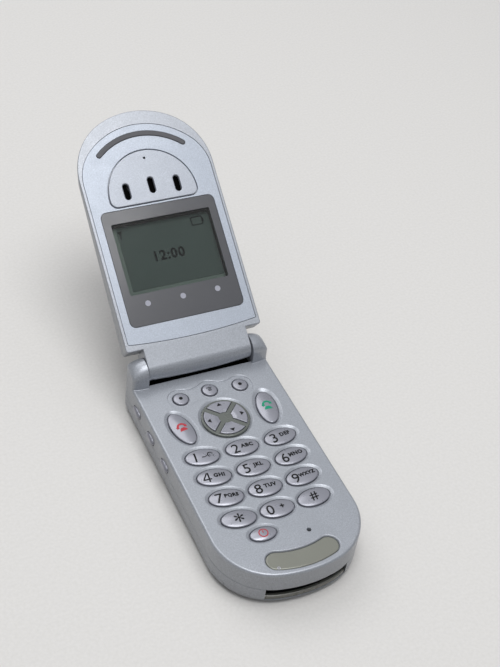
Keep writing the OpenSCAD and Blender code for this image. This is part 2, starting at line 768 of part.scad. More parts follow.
module sim_holder() {
    holder_w = 27;
    holder_l = 15.5;
    card_h = 0.95;
    holder_h = 1.7;
    rail = 1;
    color(steel) translate([-holder_w / 2, bulkhead_y + 0.6, deck_z - holder_h]) difference() {
        cube([holder_w, holder_l, holder_h]);
        translate([rail, -over, (holder_h - card_h) / 2])
            cube([holder_w - 2 * rail, holder_l - rail + over, card_h]);
        translate([holder_w / 4, -over, -over])
            cube([holder_w / 2, holder_l * 0.6 + over, holder_h / 2 + over]);
    }
}

// ---- Inside the keypad half ----

// Carrier with a printed comb-shaped trace on its underside
module internal_antenna() {
    carrier_w = 19;
    trace_t = 0.1;
    edge = 0.6;
    teeth = 4;
    tooth_pitch = (carrier_w - 2 * edge + 1) / teeth;
    color(gold) translate([0.5 - battery_w / 2, antenna_y, deck_z - inner_part_h]) {
        translate([0, 0, trace_t]) cube([carrier_w, antenna_l, inner_part_h - trace_t]);
        for (i = [0 : teeth - 1]) translate([edge + tooth_pitch * i, edge, 0])
            cube([tooth_pitch - 1, antenna_l - 2 * edge, trace_t]);
        translate([edge, edge, 0]) cube([carrier_w - 2 * edge, edge, trace_t]);
    }
}

module vibration_motor() {
    motor_r = antenna_l / 2;
    tail = [2, 1.6, 0.5];
    color(steel) translate([9, antenna_y + motor_r, deck_z - inner_part_h]) {
        cylinder(r = motor_r, h = inner_part_h);
        translate([-motor_r - tail[0] / 2, -tail[1] / 2, inner_part_h - tail[2]]) cube(tail);
    }
}

module board_shape() {
    notch_half = side_key_a + side_flange_w + 0.8;
    difference() {
        polygon(body_outline(wall + board_gap));
        for (k = SIDE_KEYS) translate([-half_w, side_key_y(k[1]) - notch_half])
            square([half_w - side_notch_x, 2 * notch_half]);
        at_screws() circle(r = screw_r + screw_head_gap);
    }
}

module main_board() {
    color(board_green) translate([0, 0, board_z]) linear_extrude(board_t) board_shape();
}

module shield_can() {
    can = [battery_w - 3, 28];
    can_back_y = battery_back_y - 5;
    can_wall = 0.3;
    vents = 4;
    can_h = board_z - deck_z - deck_t;
    color(steel) translate([-can[0] / 2, can_back_y - can[1], board_z - can_h]) difference() {
        cube([can[0], can[1], can_h]);
        translate([can_wall, can_wall, can_wall])
            cube([can[0] - 2 * can_wall, can[1] - 2 * can_wall, can_h]);
        for (i = [1 : vents]) for (j = [1 : vents])
            translate([can[0] * i / (vents + 1), can[1] * j / (vents + 1), -over])
                cylinder(r = 0.6, h = 2 * over);
    }
}

// Flat area that the dome sheet and the keypad mat share
module pad_shape() {
    difference() {
        translate([-mat_half_w, mat_tip_y]) square([2 * mat_half_w, mat_back_y - mat_tip_y]);
        translate([mic_x, mic_y]) circle(r = mic_r + pad_gap);
        at_screws() circle(r = boss_r + pad_gap);
    }
}

module dome_sheet() {
    color([0.8, 0.79, 0.72]) {
        translate([0, 0, board_top_z]) linear_extrude(sheet_t) intersection() {
            pad_shape();
            polygon(body_outline(wall + board_gap));
        }
        at_every_key() translate([0, 0, board_top_z + sheet_t / 2])
            cylinder(r1 = dome_r, r2 = dome_r * 0.45, h = dome_h + sheet_t / 2);
    }
}

module keypad_mat() {
    skirt = 1;
    color([0.75, 0.76, 0.78]) difference() {
        translate([0, 0, sheet_top_z]) linear_extrude(mat_top_z - sheet_top_z) intersection() {
            pad_shape();
            polygon(body_outline(wall + board_gap));
        }
        translate([0, 0, sheet_top_z - over]) linear_extrude(mat_z - sheet_top_z + over) difference() {
            translate([-mat_half_w + skirt, mat_tip_y + skirt])
                square([2 * (mat_half_w - skirt), mat_back_y - mat_tip_y - 2 * skirt]);
            translate([mic_x, mic_y]) circle(r = mic_r + pad_gap + skirt);
            at_screws() circle(r = boss_r + pad_gap + skirt);
        }
        at_every_key() cylinder(r = nub_hole_r, h = body_h);
    }
}

module microphone() {
    mic_h = ceiling_z - board_top_z - 0.1;
    port_depth = 0.5;
    color(steel) translate([mic_x, mic_y, board_top_z]) difference() {
        cylinder(r = mic_r, h = mic_h);
        translate([0, 0, mic_h - port_depth]) cylinder(r = mic_hole_r, h = over);
    }
}

// Black connector with its curved lip, let into the tip of the rear housing
module accessory_connector() {
    mouth_depth = 4.5;
    tongue = [slot_w - 6, mouth_depth, 0.8];
    tongue_z = slot_z + 0.8;
    pins = 12;
    pin_w = 0.6;
    pin_pitch = 1.9;
    color(dark) difference() {
        intersection() {
            union() {
                translate([slot_left + door_gap, tip_y, lip_z])
                    cube([slot_w - 2 * door_gap, connector_back_y - tip_y - door_gap, lip_h]);
                translate([slot_left + door_gap, tip_y + mouth_depth, lip_z])
                    cube([slot_w - 2 * door_gap, connector_back_y - tip_y - mouth_depth - door_gap,
                          parting_z - lip_z - 0.1]);
                translate([slot_x - tongue[0] / 2, tip_y + 2.4, tongue_z]) cube(tongue);
            }
            linear_extrude(body_h) polygon(body_outline(lip_sink));
        }
        for (i = [0 : pins - 1])
            translate([slot_x + (i - (pins - 1) / 2) * pin_pitch - pin_w / 2, tip_y + 2,
                       tongue_z + tongue[2] - 0.1])
                cube([pin_w, mouth_depth - 1, over]);
    }
}

module nameplate() {
    color(olive) translate([0, 0, body_h - plate_t - plate_sink]) linear_extrude(plate_t) plate_shape();
}

module housing_screw(side) {
    low_z = screw_head_top - screw_head_h;
    socket_r = 0.65;
    socket_depth = 0.5;
    color(steel) translate([side * screw_x, screw_y, 0]) difference() {
        union() {
            translate([0, 0, low_z]) cylinder(r = screw_head_r, h = screw_head_h);
            translate([0, 0, low_z + screw_head_h / 2])
                cylinder(r = screw_r, h = ceiling_z - low_z - screw_head_h);
        }
        translate([0, 0, low_z - over]) cylinder(r = socket_r, h = over + socket_depth, $fn = 6);
    }
}

// ---- Keys ----

function ellipse(a, b, n = 32) = [for (i = [0 : n - 1]) [a * cos(360 * i / n), b * sin(360 * i / n)]];

// Oval cap with a low dome
module key_cap(a, b, low_z, top_z) {
    dome = 0.35;
    crown = [0, 25, 50, 72];
    loft(concat([ellipse(a, b)], [for (t = crown) ellipse(a * cos(t), b * cos(t))]),
         concat([low_z], [for (t = crown) top_z - dome + dome * sin(t)]));
}

module oval_key(a, b) {
    color(key_silver) {
        key_cap(a, b, ceiling_z - flange_t / 2, body_h + key_rise);
        translate([0, 0, ceiling_z - flange_t]) oval(a + flange_w, b + flange_w, flange_t);
        translate([0, 0, nub_z]) cylinder(r = nub_r, h = ceiling_z - flange_t / 2 - nub_z);
    }
}

module digit_key(column, row) {
    at_digit(column, row) oval_key(digit_a, digit_b);
}

module call_key(side) {
    at_call(side) oval_key(call_a, call_b);
}

module top_key(place) {
    at_top_key(place) oval_key(top_key_r, top_key_r);
}

module key_power() {
    at_power() oval_key(power_a, power_b);
}

// Quarter of a disc between the arms of the navigation frame, pointing along +X
module nav_sector(out_r, in_r, arm_w) {
    intersection() {
        difference() {
            circle(r = out_r);
            circle(r = in_r);
            for (a = [45, -45]) rotate(a) square([3 * out_r, arm_w], center = true);
        }
        polygon([[0, 0], [2 * out_r, -2 * out_r], [2 * out_r, 2 * out_r]]);
    }
}

module nav_key(direction) {
    cap_gap = 0.15;
    lift = 0.2;
    color(key_silver) at_nav(direction) {
        translate([0, 0, nav_seat_z - flange_t / 2]) linear_extrude(body_h + lift - nav_seat_z + flange_t / 2)
            nav_sector(nav_inner_r - cap_gap, nav_hub_r + cap_gap, nav_arm_w + 2 * cap_gap);
        translate([0, 0, nav_seat_z - flange_t]) linear_extrude(flange_t)
            nav_sector(nav_ledge_r - cap_gap, nav_hub_r - 0.6, nav_arm_w - 0.8);
        translate([nub_in_nav, 0, nub_z]) cylinder(r = nub_r, h = nav_seat_z - flange_t / 2 - nub_z);
    }
}

module nav_frame() {
    color(olive) translate([0, nav_y, nav_seat_z]) linear_extrude(body_h - nav_seat_z + 0.1) {
        difference() {
            circle(r = nav_r);
            circle(r = nav_inner_r);
        }
        circle(r = nav_hub_r);
        for (a = [45, -45]) rotate(a) square([2 * nav_r - nav_ring_w, nav_arm_w], center = true);
    }
}

module side_key(place) {
    flange_z = -wall - side_flange_t;
    color(key_silver) at_side_key(place) {
        key_cap(side_key_a, side_key_b, flange_z + side_flange_t / 2, side_key_rise);
        translate([0, 0, flange_z])
            oval(side_key_a + side_flange_w, side_key_b + side_flange_w, side_flange_t);
        translate([0, 0, flange_z - side_nub_h])
            cylinder(r = side_nub_r, h = side_nub_h + side_flange_t / 2);
    }
}

// ---- Hinge ----

module hinge_cam_shaft() {
    color(steel) {
        hinge_bore(-half_w + seat_skin, -knuckle_in + barrel_gap / 2, cam_seat_r);
        hinge_bore(-knuckle_in, -barrel_half + shaft_in, pivot_r);
    }
}

module hinge_pivot_pin() {
    color(steel) {
        hinge_bore(knuckle_in - barrel_gap / 2, half_w - seat_skin, pin_seat_r);
        hinge_bore(barrel_half - shaft_in, knuckle_in, pivot_r);
    }
}

// Places what is drawn for a closed lid, with the hinge axis along X through the origin
module lid_pose() {
    translate([0, hinge_y, hinge_z]) rotate([-open_angle, 0, 0]) children();
}

module axis_rod(from_x, to_x, r) {
    translate([from_x, 0, 0]) rotate([0, 90, 0]) cylinder(r = r, h = to_x - from_x);
}

module hinge_module() {
    color(steel) lid_pose() difference() {
        axis_rod(-barrel_half, -barrel_half + module_l, module_r);
        axis_rod(-barrel_half - over, -barrel_half + module_l - module_end_t, pivot_r + pivot_fit);
    }
}

// Coil between the cam shaft's end and the module's end wall
module hinge_spring() {
    wire_r = 0.2;
    coil_r = pivot_r - wire_r;
    turns = 6;
    steps = 12;                             // rings of points in one turn
    sides = 6;
    from_x = -barrel_half + shaft_in + wire_r + pivot_fit;
    to_x = -barrel_half + module_l - module_end_t - wire_r;
    n = turns * steps;
    points = [for (i = [0 : n]) let (turn = 360 * i / steps, x = from_x + (to_x - from_x) * i / n)
        for (s = [0 : sides - 1]) let (w = 360 * s / sides, r = coil_r + wire_r * cos(w))
            [x + wire_r * sin(w), r * cos(turn), r * sin(turn)]];
    faces = concat(
        [[for (s = [sides - 1 : -1 : 0]) s]],
        [for (i = [0 : n - 1]) for (s = [0 : sides - 1])
            let (a = i * sides + s, b = i * sides + (s + 1) % sides)
                each [[a, b, a + sides], [b, b + sides, a + sides]]],
        [[for (s = [0 : sides - 1]) n * sides + s]]);
    color(steel) lid_pose() polyhedron(points, faces);
}

// Ribbon that is rolled up in the barrel and runs through the neck into the lid
module flex_cable() {
    roll_in_r = module_r - 2 * ribbon_t;
    color([0.75, 0.45, 0.15]) lid_pose() {
        difference() {
            axis_rod(ribbon_x, ribbon_x + ribbon_w, module_r);
            axis_rod(ribbon_x - over, ribbon_x + ribbon_w + over, roll_in_r);
        }
        translate([ribbon_x, -ribbon_end, lid_board_z - ribbon_t])
            cube([ribbon_w, ribbon_end - roll_in_r - ribbon_t / 2, ribbon_t]);
    }
}

// ---- Lid ----

// Barrel and the neck that runs smoothly from it into the lid's inner face
module neck_shape() {
    middle_z = lid_in_z + barrel_r;
    roof_z = middle_z + barrel_r;
    translate([0, middle_z]) circle(r = barrel_r);
    polygon([[0, lid_in_z], [-lid_start - lid_wall, lid_in_z], [-lid_start - lid_wall, lid_part_z],
             [-lid_start, lid_part_z], [-lid_start, roof_z], [0, roof_z]]);
}

module rounded_rect(w, h, r) {
    translate([-w / 2 + r, 0]) square([w - 2 * r, h]);
    translate([-w / 2, r]) square([w, h - 2 * r]);
    for (x = [-1, 1]) for (y = [r, h - r]) translate([x * (w / 2 - r), y]) circle(r = r);
}

module window_shape(grow = 0) {
    translate([0, -window_start - window_h - grow])
        rounded_rect(window_w + 2 * grow, window_h + 2 * grow, window_corner_r + grow);
}

module grille_shape(grow = 0) {
    r = grille_r + grow;
    edge_y = -grille_start + grow;
    corner_y = edge_y - grille_corner_r;
    corner_x = sqrt(pow(r - grille_corner_r, 2) - pow(corner_y + grille_from_hinge, 2));
    difference() {
        translate([0, -grille_from_hinge]) circle(r = r);
        translate([-2 * r, corner_y]) square([4 * r, 2 * r]);
    }
    translate([-corner_x, corner_y - over]) square([2 * corner_x, grille_corner_r + over]);
    for (side = [-1, 1]) translate([side * corner_x, corner_y]) circle(r = grille_corner_r);
}

module strip_shape(grow = 0) {
    mid_r = strip_r - strip_w / 2;
    far = 2 * strip_r;
    translate([0, -strip_center]) {
        intersection() {
            difference() {
                circle(r = strip_r + grow);
                circle(r = strip_r - strip_w - grow);
            }
            polygon([[0, 0], [-far * sin(strip_angle), -far * cos(strip_angle)],
                     [far * sin(strip_angle), -far * cos(strip_angle)]]);
        }
        for (side = [-1, 1]) translate([side * mid_r * sin(strip_angle), -mid_r * cos(strip_angle)])
            circle(r = strip_w / 2 + grow);
    }
}

module sound_slots(half_w_slot, length) {
    for (i = [-1 : 1])
        translate([i * sound_slot_pitch, -sound_slot_from_hinge + abs(i) * sound_slot_drop]) {
            for (end = [-1, 1]) translate([0, end * (length / 2 - half_w_slot)]) circle(r = half_w_slot);
            square([2 * half_w_slot, length - 2 * half_w_slot], center = true);
        }
}

module panel_outline(inset = 0) {
    end_r = 0.6;
    polygon(phone_outline(panel_w / 2, -panel_reach, -panel_start, panel_corner_r, panel_corner_lag,
                          end_r, inset, panel_bow));
}

module lid_inner_housing() {
    view_gap = 0.4;
    steps = round_steps(inner_round);
    last = len(steps) - 1;
    color(silver) lid_pose() difference() {
        union() {
            difference() {
                loft(concat([for (i = [last : -1 : 0]) lid_outline(steps[i][0])], [lid_outline()]),
                     concat([for (i = [last : -1 : 0]) lid_in_z + inner_round - steps[i][1]], [lid_part_z]));
                loft([lid_outline(lid_wall), lid_outline(lid_wall)], [lid_cavity_z, lid_part_z + over]);
            }
            yz_extrude(barrel_half) neck_shape();
        }
        axis_rod(-barrel_half - over, barrel_half - bushing_l, module_r);
        axis_rod(-barrel_half, barrel_half + over, pivot_r + pivot_fit);
        translate([ribbon_x - ribbon_gap, -lid_start - lid_wall - over,
                   lid_board_z - ribbon_t - ribbon_gap / 2])
            cube([ribbon_w + 2 * ribbon_gap, lid_start + lid_wall + over - module_r + ribbon_t,
                  ribbon_t + ribbon_gap]);
        translate([0, 0, lid_in_z - over]) linear_extrude(panel_t + over) panel_outline();
        translate([-view_w / 2 - view_gap, -view_start - view_h - view_gap, lid_in_z])
            cube([view_w + 2 * view_gap, view_h + 2 * view_gap, lid_t / 2]);
        translate([0, 0, lid_in_z]) linear_extrude(lid_t / 2) sound_slots(sound_slot_r, sound_slot_l);
    }
}

module lid_outer_housing() {
    steps = round_steps(outer_round);
    cavity_round = outer_round - lid_wall;
    color(silver) lid_pose() difference() {
        loft_points(concat([shell_ring(0, lid_part_z)],
                           [for (s = steps) shell_ring(s[0], lid_out_z - outer_round + s[1])]));
        loft_points([[for (p = shell_outline(0, lid_wall)) [p[0], p[1], lid_part_z - over]],
                     shell_ring(0, lid_out_z - cavity_round, lid_wall),
                     shell_ring(cavity_round * 0.3, lid_out_z - cavity_round * 0.3, lid_wall),
                     shell_ring(cavity_round, lid_out_z, lid_wall)]);
    }
}

module lid_inner_panel() {
    color(pale_silver) lid_pose() translate([0, 0, lid_in_z]) linear_extrude(panel_t) difference() {
        panel_outline(seat_gap / 2);
        window_shape(seat_gap);
        grille_shape(seat_gap);
        strip_shape(seat_gap);
    }
}

module display_window() {
    color([0.42, 0.41, 0.43]) lid_pose() translate([0, 0, lid_in_z]) linear_extrude(panel_t) window_shape();
}

module display_module() {
    margin_x = 1.2;
    margin_y = 1.8;
    color([0.28, 0.32, 0.31]) lid_pose() {
        translate([-view_w / 2 - margin_x, -view_start - view_h - margin_y, lid_cavity_z])
            cube([view_w + 2 * margin_x, view_h + 2 * margin_y, display_t]);
        translate([-view_w / 2, -view_start - view_h, seat_z])
            cube([view_w, view_h, display_t - panel_t / 2]);
    }
}

module lid_board() {
    board_w = view_w + 2.7;
    chip = [8, 8, 0.9];
    board_from = lid_start + lid_wall + lid_overlap;
    board_to = view_start + view_h + 3;
    color(board_green) lid_pose() {
        translate([-board_w / 2, -board_to, lid_board_z])
            cube([board_w, board_to - board_from, lid_board_t]);
        for (side = [-1, 1])
            translate([side * board_w / 5 - chip[0] / 2, -view_start - 1.5 * chip[1], lid_board_z])
                cube([chip[0], chip[1], lid_board_t + chip[2]]);
    }
}

module earpiece_grille() {
    color(pale_silver) lid_pose() translate([0, 0, lid_in_z - grille_proud])
        linear_extrude(panel_t + grille_proud) difference() {
            grille_shape();
            sound_slots(sound_slot_r, sound_slot_l);
            translate([0, -pinhole_from_hinge]) circle(r = pinhole_r);
        }
}

module earpiece_speaker() {
    speaker_r = 7.5;
    speaker_h = 2.6;
    color(dark) lid_pose() translate([0, -sound_slot_from_hinge - 2.2, lid_cavity_z]) difference() {
        cylinder(r = speaker_r, h = speaker_h);
        translate([0, 0, -over]) cylinder(r = speaker_r - 1, h = over + 0.4);
    }
}

module bumper_strip() {
    color(dark) lid_pose() translate([0, 0, lid_in_z - strip_proud])
        linear_extrude(panel_t + strip_proud) strip_shape();
}

base_front_housing();
base_rear_housing();
battery_door();
battery_pack();
battery_contacts();
main_board();
shield_can();
dome_sheet();
keypad_mat();
microphone();
accessory_connector();
sim_holder();
vibration_motor();
internal_antenna();
nameplate();
nav_frame();
key_power();
for (k = DIGIT_KEYS) digit_key(k[1], k[2]);
for (k = CALL_KEYS) call_key(k[1]);
for (k = TOP_KEYS) top_key(k[1]);
for (k = NAV_KEYS) nav_key(k[1]);
for (k = SIDE_KEYS) side_key(k[1]);
for (k = SCREWS) housing_screw(k[1]);
hinge_cam_shaft();
hinge_pivot_pin();
hinge_module();
hinge_spring();
flex_cable();
lid_inner_housing();
lid_outer_housing();
lid_inner_panel();
display_window();
display_module();
lid_board();
earpiece_grille();
earpiece_speaker();
bumper_strip();
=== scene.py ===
"""Looks of a small flip phone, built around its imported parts. All sizes are in millimetres."""

import json
import math

import bmesh
import bpy
from mathutils import Matrix, Vector


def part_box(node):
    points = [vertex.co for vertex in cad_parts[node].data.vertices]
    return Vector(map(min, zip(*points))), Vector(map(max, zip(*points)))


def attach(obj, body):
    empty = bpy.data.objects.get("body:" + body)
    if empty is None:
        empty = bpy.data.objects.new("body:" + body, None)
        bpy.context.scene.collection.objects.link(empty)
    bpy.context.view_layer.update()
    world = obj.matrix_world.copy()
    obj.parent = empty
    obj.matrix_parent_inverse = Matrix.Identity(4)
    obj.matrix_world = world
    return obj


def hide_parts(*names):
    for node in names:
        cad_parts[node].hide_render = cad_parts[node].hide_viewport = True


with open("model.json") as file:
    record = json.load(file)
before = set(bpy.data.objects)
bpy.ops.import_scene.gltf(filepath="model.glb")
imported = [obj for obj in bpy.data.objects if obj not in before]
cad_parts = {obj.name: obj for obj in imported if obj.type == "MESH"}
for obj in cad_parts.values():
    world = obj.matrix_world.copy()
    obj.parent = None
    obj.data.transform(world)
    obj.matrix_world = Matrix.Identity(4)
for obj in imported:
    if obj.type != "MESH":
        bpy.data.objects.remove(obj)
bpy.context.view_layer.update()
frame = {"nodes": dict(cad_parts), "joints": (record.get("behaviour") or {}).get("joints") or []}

MM = 0.001


# ---- Sizes taken from the frame ----

def corners(node):
    low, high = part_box(node)
    return low / MM, high / MM


def middle(node):
    low, high = corners(node)
    return (low + high) / 2


def joint(name):
    return next(j for j in frame["joints"] if j["name"] == name)


FLIP = joint("lid_flip")
HINGE = Vector(FLIP["pos_m"]) / MM
OPEN_ANGLE = FLIP["range_deg"][1]
LID_POSE = Matrix.Translation(HINGE) @ Matrix.Rotation(math.radians(-OPEN_ANGLE), 4, "X")

front_low, front_high = corners("base_front_housing")
HALF_W = front_high.x
TIP_Y = front_low.y
BACK_Y = front_high.y
PARTING_Z = front_low.z
KNUCKLE_R = BACK_Y - HINGE.y
DOOR_TOP = 3  # parting line between the rear housing and the battery door
DOOR_FRONT = HINGE.y - 68.1  # where the door ends at the rear housing's bulkhead
FACE_Z = 12.5  # the keypad face
CEILING_Z = 11  # the underside of the keypad face
WALL = 1.4
FACE_ROUND = 0.8
BACK_ROUND = 2.6
SEAM = 0.1  # chamfer on both sides of a parting line
SPLIT = 0.02  # gap between two housings at their parting line
FAR = 40  # reach of a cutter past the sides and above the hinge

KNUCKLE_IN = HALF_W - 4.9  # inner side of a knuckle
BARREL_R = 3.5
BARREL_HALF = KNUCKLE_IN - 0.3
RECESS_Z = FACE_Z - 1.7  # floor of the trough between the knuckles
RECESS_FRONT = HINGE.y - 3
RECESS_BACK = BACK_Y - 1.1

KEY_GAP = 0.25  # between a key and its hole
NAV_R = 7.1
NAV_TOP = FACE_Z + 0.08  # upper side of the navigation frame
MOUTH_SIDE = 0.9  # how much narrower the mouth is than the block behind it

LID_IN = -2.97  # the lid's inner face, measured from the hinge axis
LID_OUT = LID_IN + 7.4
LID_PART = LID_IN + 3.4
LID_WALL = 1.3
LID_START = 5.4
LID_REACH = 77.5
LID_TAPER = 0.45  # share of the outer housing's height that is lost towards the tip
LID_LEAN = 0.5  # how far the wall leans in at the tip, for each millimetre of height
LID_HALF = HALF_W - 0.1
PANEL_T = 0.8


# ---- Outlines ----

def arc(center, radius, start, end, steps):
    """Points from one angle to another, in degrees."""
    points = []
    for i in range(steps + 1):
        a = math.radians(start + (end - start) * i / steps)
        points.append((center[0] + radius * math.cos(a), center[1] + radius * math.sin(a)))
    return points


def phone_outline(half, tip_y, end_y, big_r, lag, end_r, inset=0.0, bow=0.0):
    """Straight or bowed end at end_y, round tip at tip_y; big corners run tangent into sides and tip."""
    back = big_r + lag
    tip_r = ((half - big_r) ** 2 + back ** 2 - big_r ** 2) / (2 * lag)
    tip_cy = tip_y + tip_r
    cx, cy = half - big_r, tip_y + back
    join = math.degrees(math.atan2(cy - tip_cy, cx))
    er = max(0.05, end_r - inset)
    ex, ey = half - inset - er, end_y - inset - er
    right = arc((0, tip_cy), tip_r - inset, -90, join, 10)[:-1]
    right += arc((cx, cy), big_r - inset, join, 0, 40)
    right += arc((ex, ey), er, 0, 90, 8)
    if bow:
        steps = [1 - i / 10 for i in range(1, 10)]
        right += [(ex * k, ey + er + bow * (1 - k * k)) for k in steps]
    left = [(-x, y) for x, y in reversed(right)]
    return right + left[:-1]


def body_outline(inset=0.0):
    return phone_outline(HALF_W, TIP_Y, BACK_Y, big_r=17, lag=0.5, end_r=3, inset=inset)


def lid_outline(inset=0.0):
    return phone_outline(LID_HALF, -LID_REACH, -LID_START, big_r=19, lag=0.5, end_r=0.8, inset=inset)


def shell_ring(inset, z):
    """Outline of the lid at height z. Towards the tip its wall leans in and its back is lower."""
    ring = []
    for p, q in zip(lid_outline(inset), lid_outline(inset + 1)):
        t = max(0.0, (-p[1] - LID_START) / LID_REACH)
        low = z if z < LID_PART else LID_PART + (z - LID_PART) * (1 - LID_TAPER * t)
        lean = LID_LEAN * t ** 2.5 * (low - LID_IN)
        ring.append((p[0] + (q[0] - p[0]) * lean, p[1] + (q[1] - p[1]) * lean, low))
    return ring


def panel_outline(inset=0.0):
    return phone_outline(half=20.45, tip_y=-73.15, end_y=-7.4, big_r=13.5, lag=2.9, end_r=0.6,
                         inset=inset, bow=1.05)


def ellipse(a, b, steps=64):
    turns = [2 * math.pi * i / steps for i in range(steps)]
    return [(a * math.cos(t), b * math.sin(t)) for t in turns]


def circle(radius, steps=64):
    return ellipse(radius, radius, steps)


def round_rect(half_w, low, high, r, grow=0.0):
    x, y0, y1, rr = half_w - r, low + r, high - r, r + grow
    return (arc((x, y0), rr, -90, 0, 8) + arc((x, y1), rr, 0, 90, 8)
            + arc((-x, y1), rr, 90, 180, 8) + arc((-x, y0), rr, 180, 270, 8))


def arc_capsule(center, radius, half_angle, half_width, grow=0.0):
    """Band of even width along an arc that sags towards -Y, with round ends."""
    a0, a1 = -90 - half_angle, -90 + half_angle
    w = half_width + grow
    right_end = arc(center, radius, a1, a1, 1)[0]
    left_end = arc(center, radius, a0, a0, 1)[0]
    return (arc(center, radius + w, a0, a1, 40)[:-1] + arc(right_end, w, a1, a1 + 180, 16)[:-1]
            + arc(center, radius - w, a1, a0, 40)[:-1] + arc(left_end, w, a0 + 180, a0 + 360, 16)[:-1])


def inset_loop(points, depth):
    """Moves a closed counterclockwise loop inwards, each corner along its own bisector."""
    result = []
    n = len(points)
    for i, p in enumerate(points):
        a, b = Vector(points[i - 1]), Vector(points[(i + 1) % n])
        along_in, along_out = (Vector(p) - a), (b - Vector(p))
        n_in = Vector((-along_in.y, along_in.x)).normalized()
        n_out = Vector((-along_out.y, along_out.x)).normalized()
        bisector = (n_in + n_out).normalized()
        shift = depth / max(0.3, bisector.dot(n_in))
        result.append((p[0] + bisector.x * shift, p[1] + bisector.y * shift))
    return result


def placed(points, x=0.0, y=0.0, turn=0.0):
    c, s = math.cos(math.radians(turn)), math.sin(math.radians(turn))
    return [(x + c * p[0] - s * p[1], y + s * p[0] + c * p[1]) for p in points]


def at_height(points, z):
    return [(p[0], p[1], z) for p in points]


# ---- Meshes ----

def loft(rings):
    """Closed solid through rings of equally many points."""
    n = len(rings[0])
    verts = [v for ring in rings for v in ring]
    faces = [tuple(range(n - 1, -1, -1))]
    for k in range(len(rings) - 1):
        for i in range(n):
            a, b = k * n + i, k * n + (i + 1) % n
            faces.append((a, b, b + n, a + n))
    faces.append(tuple(range((len(rings) - 1) * n, len(rings) * n)))
    return verts, faces


def prism(points, z0, z1):
    return loft([at_height(points, z0), at_height(points, z1)])


def bend(*angles):
    """(inset, height) of a rounded edge with radius 1, at angles from the wall to the face."""
    return [(1 - math.cos(math.radians(a)), math.sin(math.radians(a))) for a in angles]


def quarter(radius, steps=6):
    """(inset, height) of a rounded edge, from the wall to the face."""
    angles = [90 * i / steps for i in range(steps + 1)]
    return [(radius * inward, radius * up) for inward, up in bend(*angles)]


def plate(points, z0, z1, bevel=0.0, steps=3):
    """Prism whose upper edge is rounded."""
    rings = [at_height(points, z0)]
    rings += [at_height(inset_loop(points, inset), z1 - bevel + h) for inset, h in quarter(bevel, steps)]
    return loft(rings)


def box(low, high):
    x0, y0, z0 = low
    x1, y1, z1 = high
    return prism([(x0, y0), (x1, y0), (x1, y1), (x0, y1)], z0, z1)


def cylinder(center, radius, z0, z1, steps):
    return prism(placed(circle(radius, steps), *center), z0, z1)


def along_x(points, x0, x1):
    """Prism along X from points in the YZ plane."""
    return loft([[(x, y, z) for y, z in points] for x in (x0, x1)])


def moved(geometry, matrix):
    verts, faces = geometry
    return [tuple(matrix @ Vector(v)) for v in verts], faces


def to_mesh(name, *geometries):
    verts, faces = [], []
    for v, f in geometries:
        base = len(verts)
        verts += v
        faces += [tuple(i + base for i in face) for face in f]
    mesh = bpy.data.meshes.new(name)
    mesh.from_pydata(verts, [], faces)
    work = bmesh.new()
    work.from_mesh(mesh)
    bmesh.ops.recalc_face_normals(work, faces=work.faces)
    work.to_mesh(mesh)
    work.free()
    return mesh


def linked(name, data):
    """New object around some data, in the scene."""
    obj = bpy.data.objects.new(name, data)
    bpy.context.scene.collection.objects.link(obj)
    return obj


def carve(mesh, operation, geometry):
    """Applies one boolean with a solid and returns the new mesh."""
    target = linked("target", mesh)
    cutter = linked("cutter", to_mesh("cutter", geometry))
    step = target.modifiers.new("step", "BOOLEAN")
    step.operation = operation
    step.object = cutter
    step.solver = "EXACT"
    graph = bpy.context.evaluated_depsgraph_get()
    result = bpy.data.meshes.new_from_object(target.evaluated_get(graph))
    for obj in (target, cutter):
        bpy.data.objects.remove(obj)
    return result


def cut(mesh, *solids):
    """Takes solids out of a mesh, one after the other."""
    for solid in solids:
        mesh = carve(mesh, "DIFFERENCE", solid)
    return mesh


def fused(mesh, *solids):
    """Adds solids to a mesh, one after the other."""
    for solid in solids:
        mesh = carve(mesh, "UNION", solid)
    return mesh


def trimmed(mesh, solid):
    """Keeps the part of a mesh that lies inside a solid."""
    return carve(mesh, "INTERSECT", solid)


def geometry_of(mesh):
    return [tuple(v.co) for v in mesh.vertices], [tuple(p.vertices) for p in mesh.polygons]


# ---- Pieces ----

def upright(center, turn=0):
    """Turns a shape about Z and moves it to a centre, at its own height."""
    return Matrix.Translation((center.x, center.y, 0)) @ Matrix.Rotation(math.radians(turn), 4, "Z")


def add_piece(name, mesh, material, body, replaces=None, pose=None, sharp=32):
    """Scales a mesh to metres, shades it and hands it to the frame."""
    if pose:
        mesh.transform(pose)
    mesh.transform(Matrix.Scale(MM, 4))
    mesh.materials.clear()
    mesh.materials.append(material)
    mesh.shade_smooth()
    mesh.set_sharp_from_angle(angle=math.radians(sharp))
    piece = linked(name, mesh)
    even = piece.modifiers.new("even", "WEIGHTED_NORMAL")
    even.keep_sharp = True
    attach(piece, body)
    if replaces:
        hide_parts(replaces)


def lid_piece(name, mesh, material, replaces=None):
    """Piece that is drawn in the closed lid's frame and turned open."""
    add_piece(name, mesh, material, "lid", replaces, LID_POSE)


# ---- Materials ----

def srgb(r, g, b):
    """Linear colour from the 0 to 255 values that a screen shows."""
    def linear(value):
        c = value / 255
        return c / 12.92 if c <= 0.04045 else ((c + 0.055) / 1.055) ** 2.4
    return linear(r), linear(g), linear(b), 1.0


def shaded(colour, factor):
    return tuple(min(1.0, c * factor) for c in colour[:3]) + (1.0,)


MIX_A, MIX_B, MIX_OUT = 6, 7, 2  # the colour sockets of a Mix node
NOISE_LOW, NOISE_HIGH = 0.3, 0.7  # nearly all of a noise's values lie between these


def set_inputs(node, values):
    for socket, value in values.items():
        node.inputs[socket].default_value = value


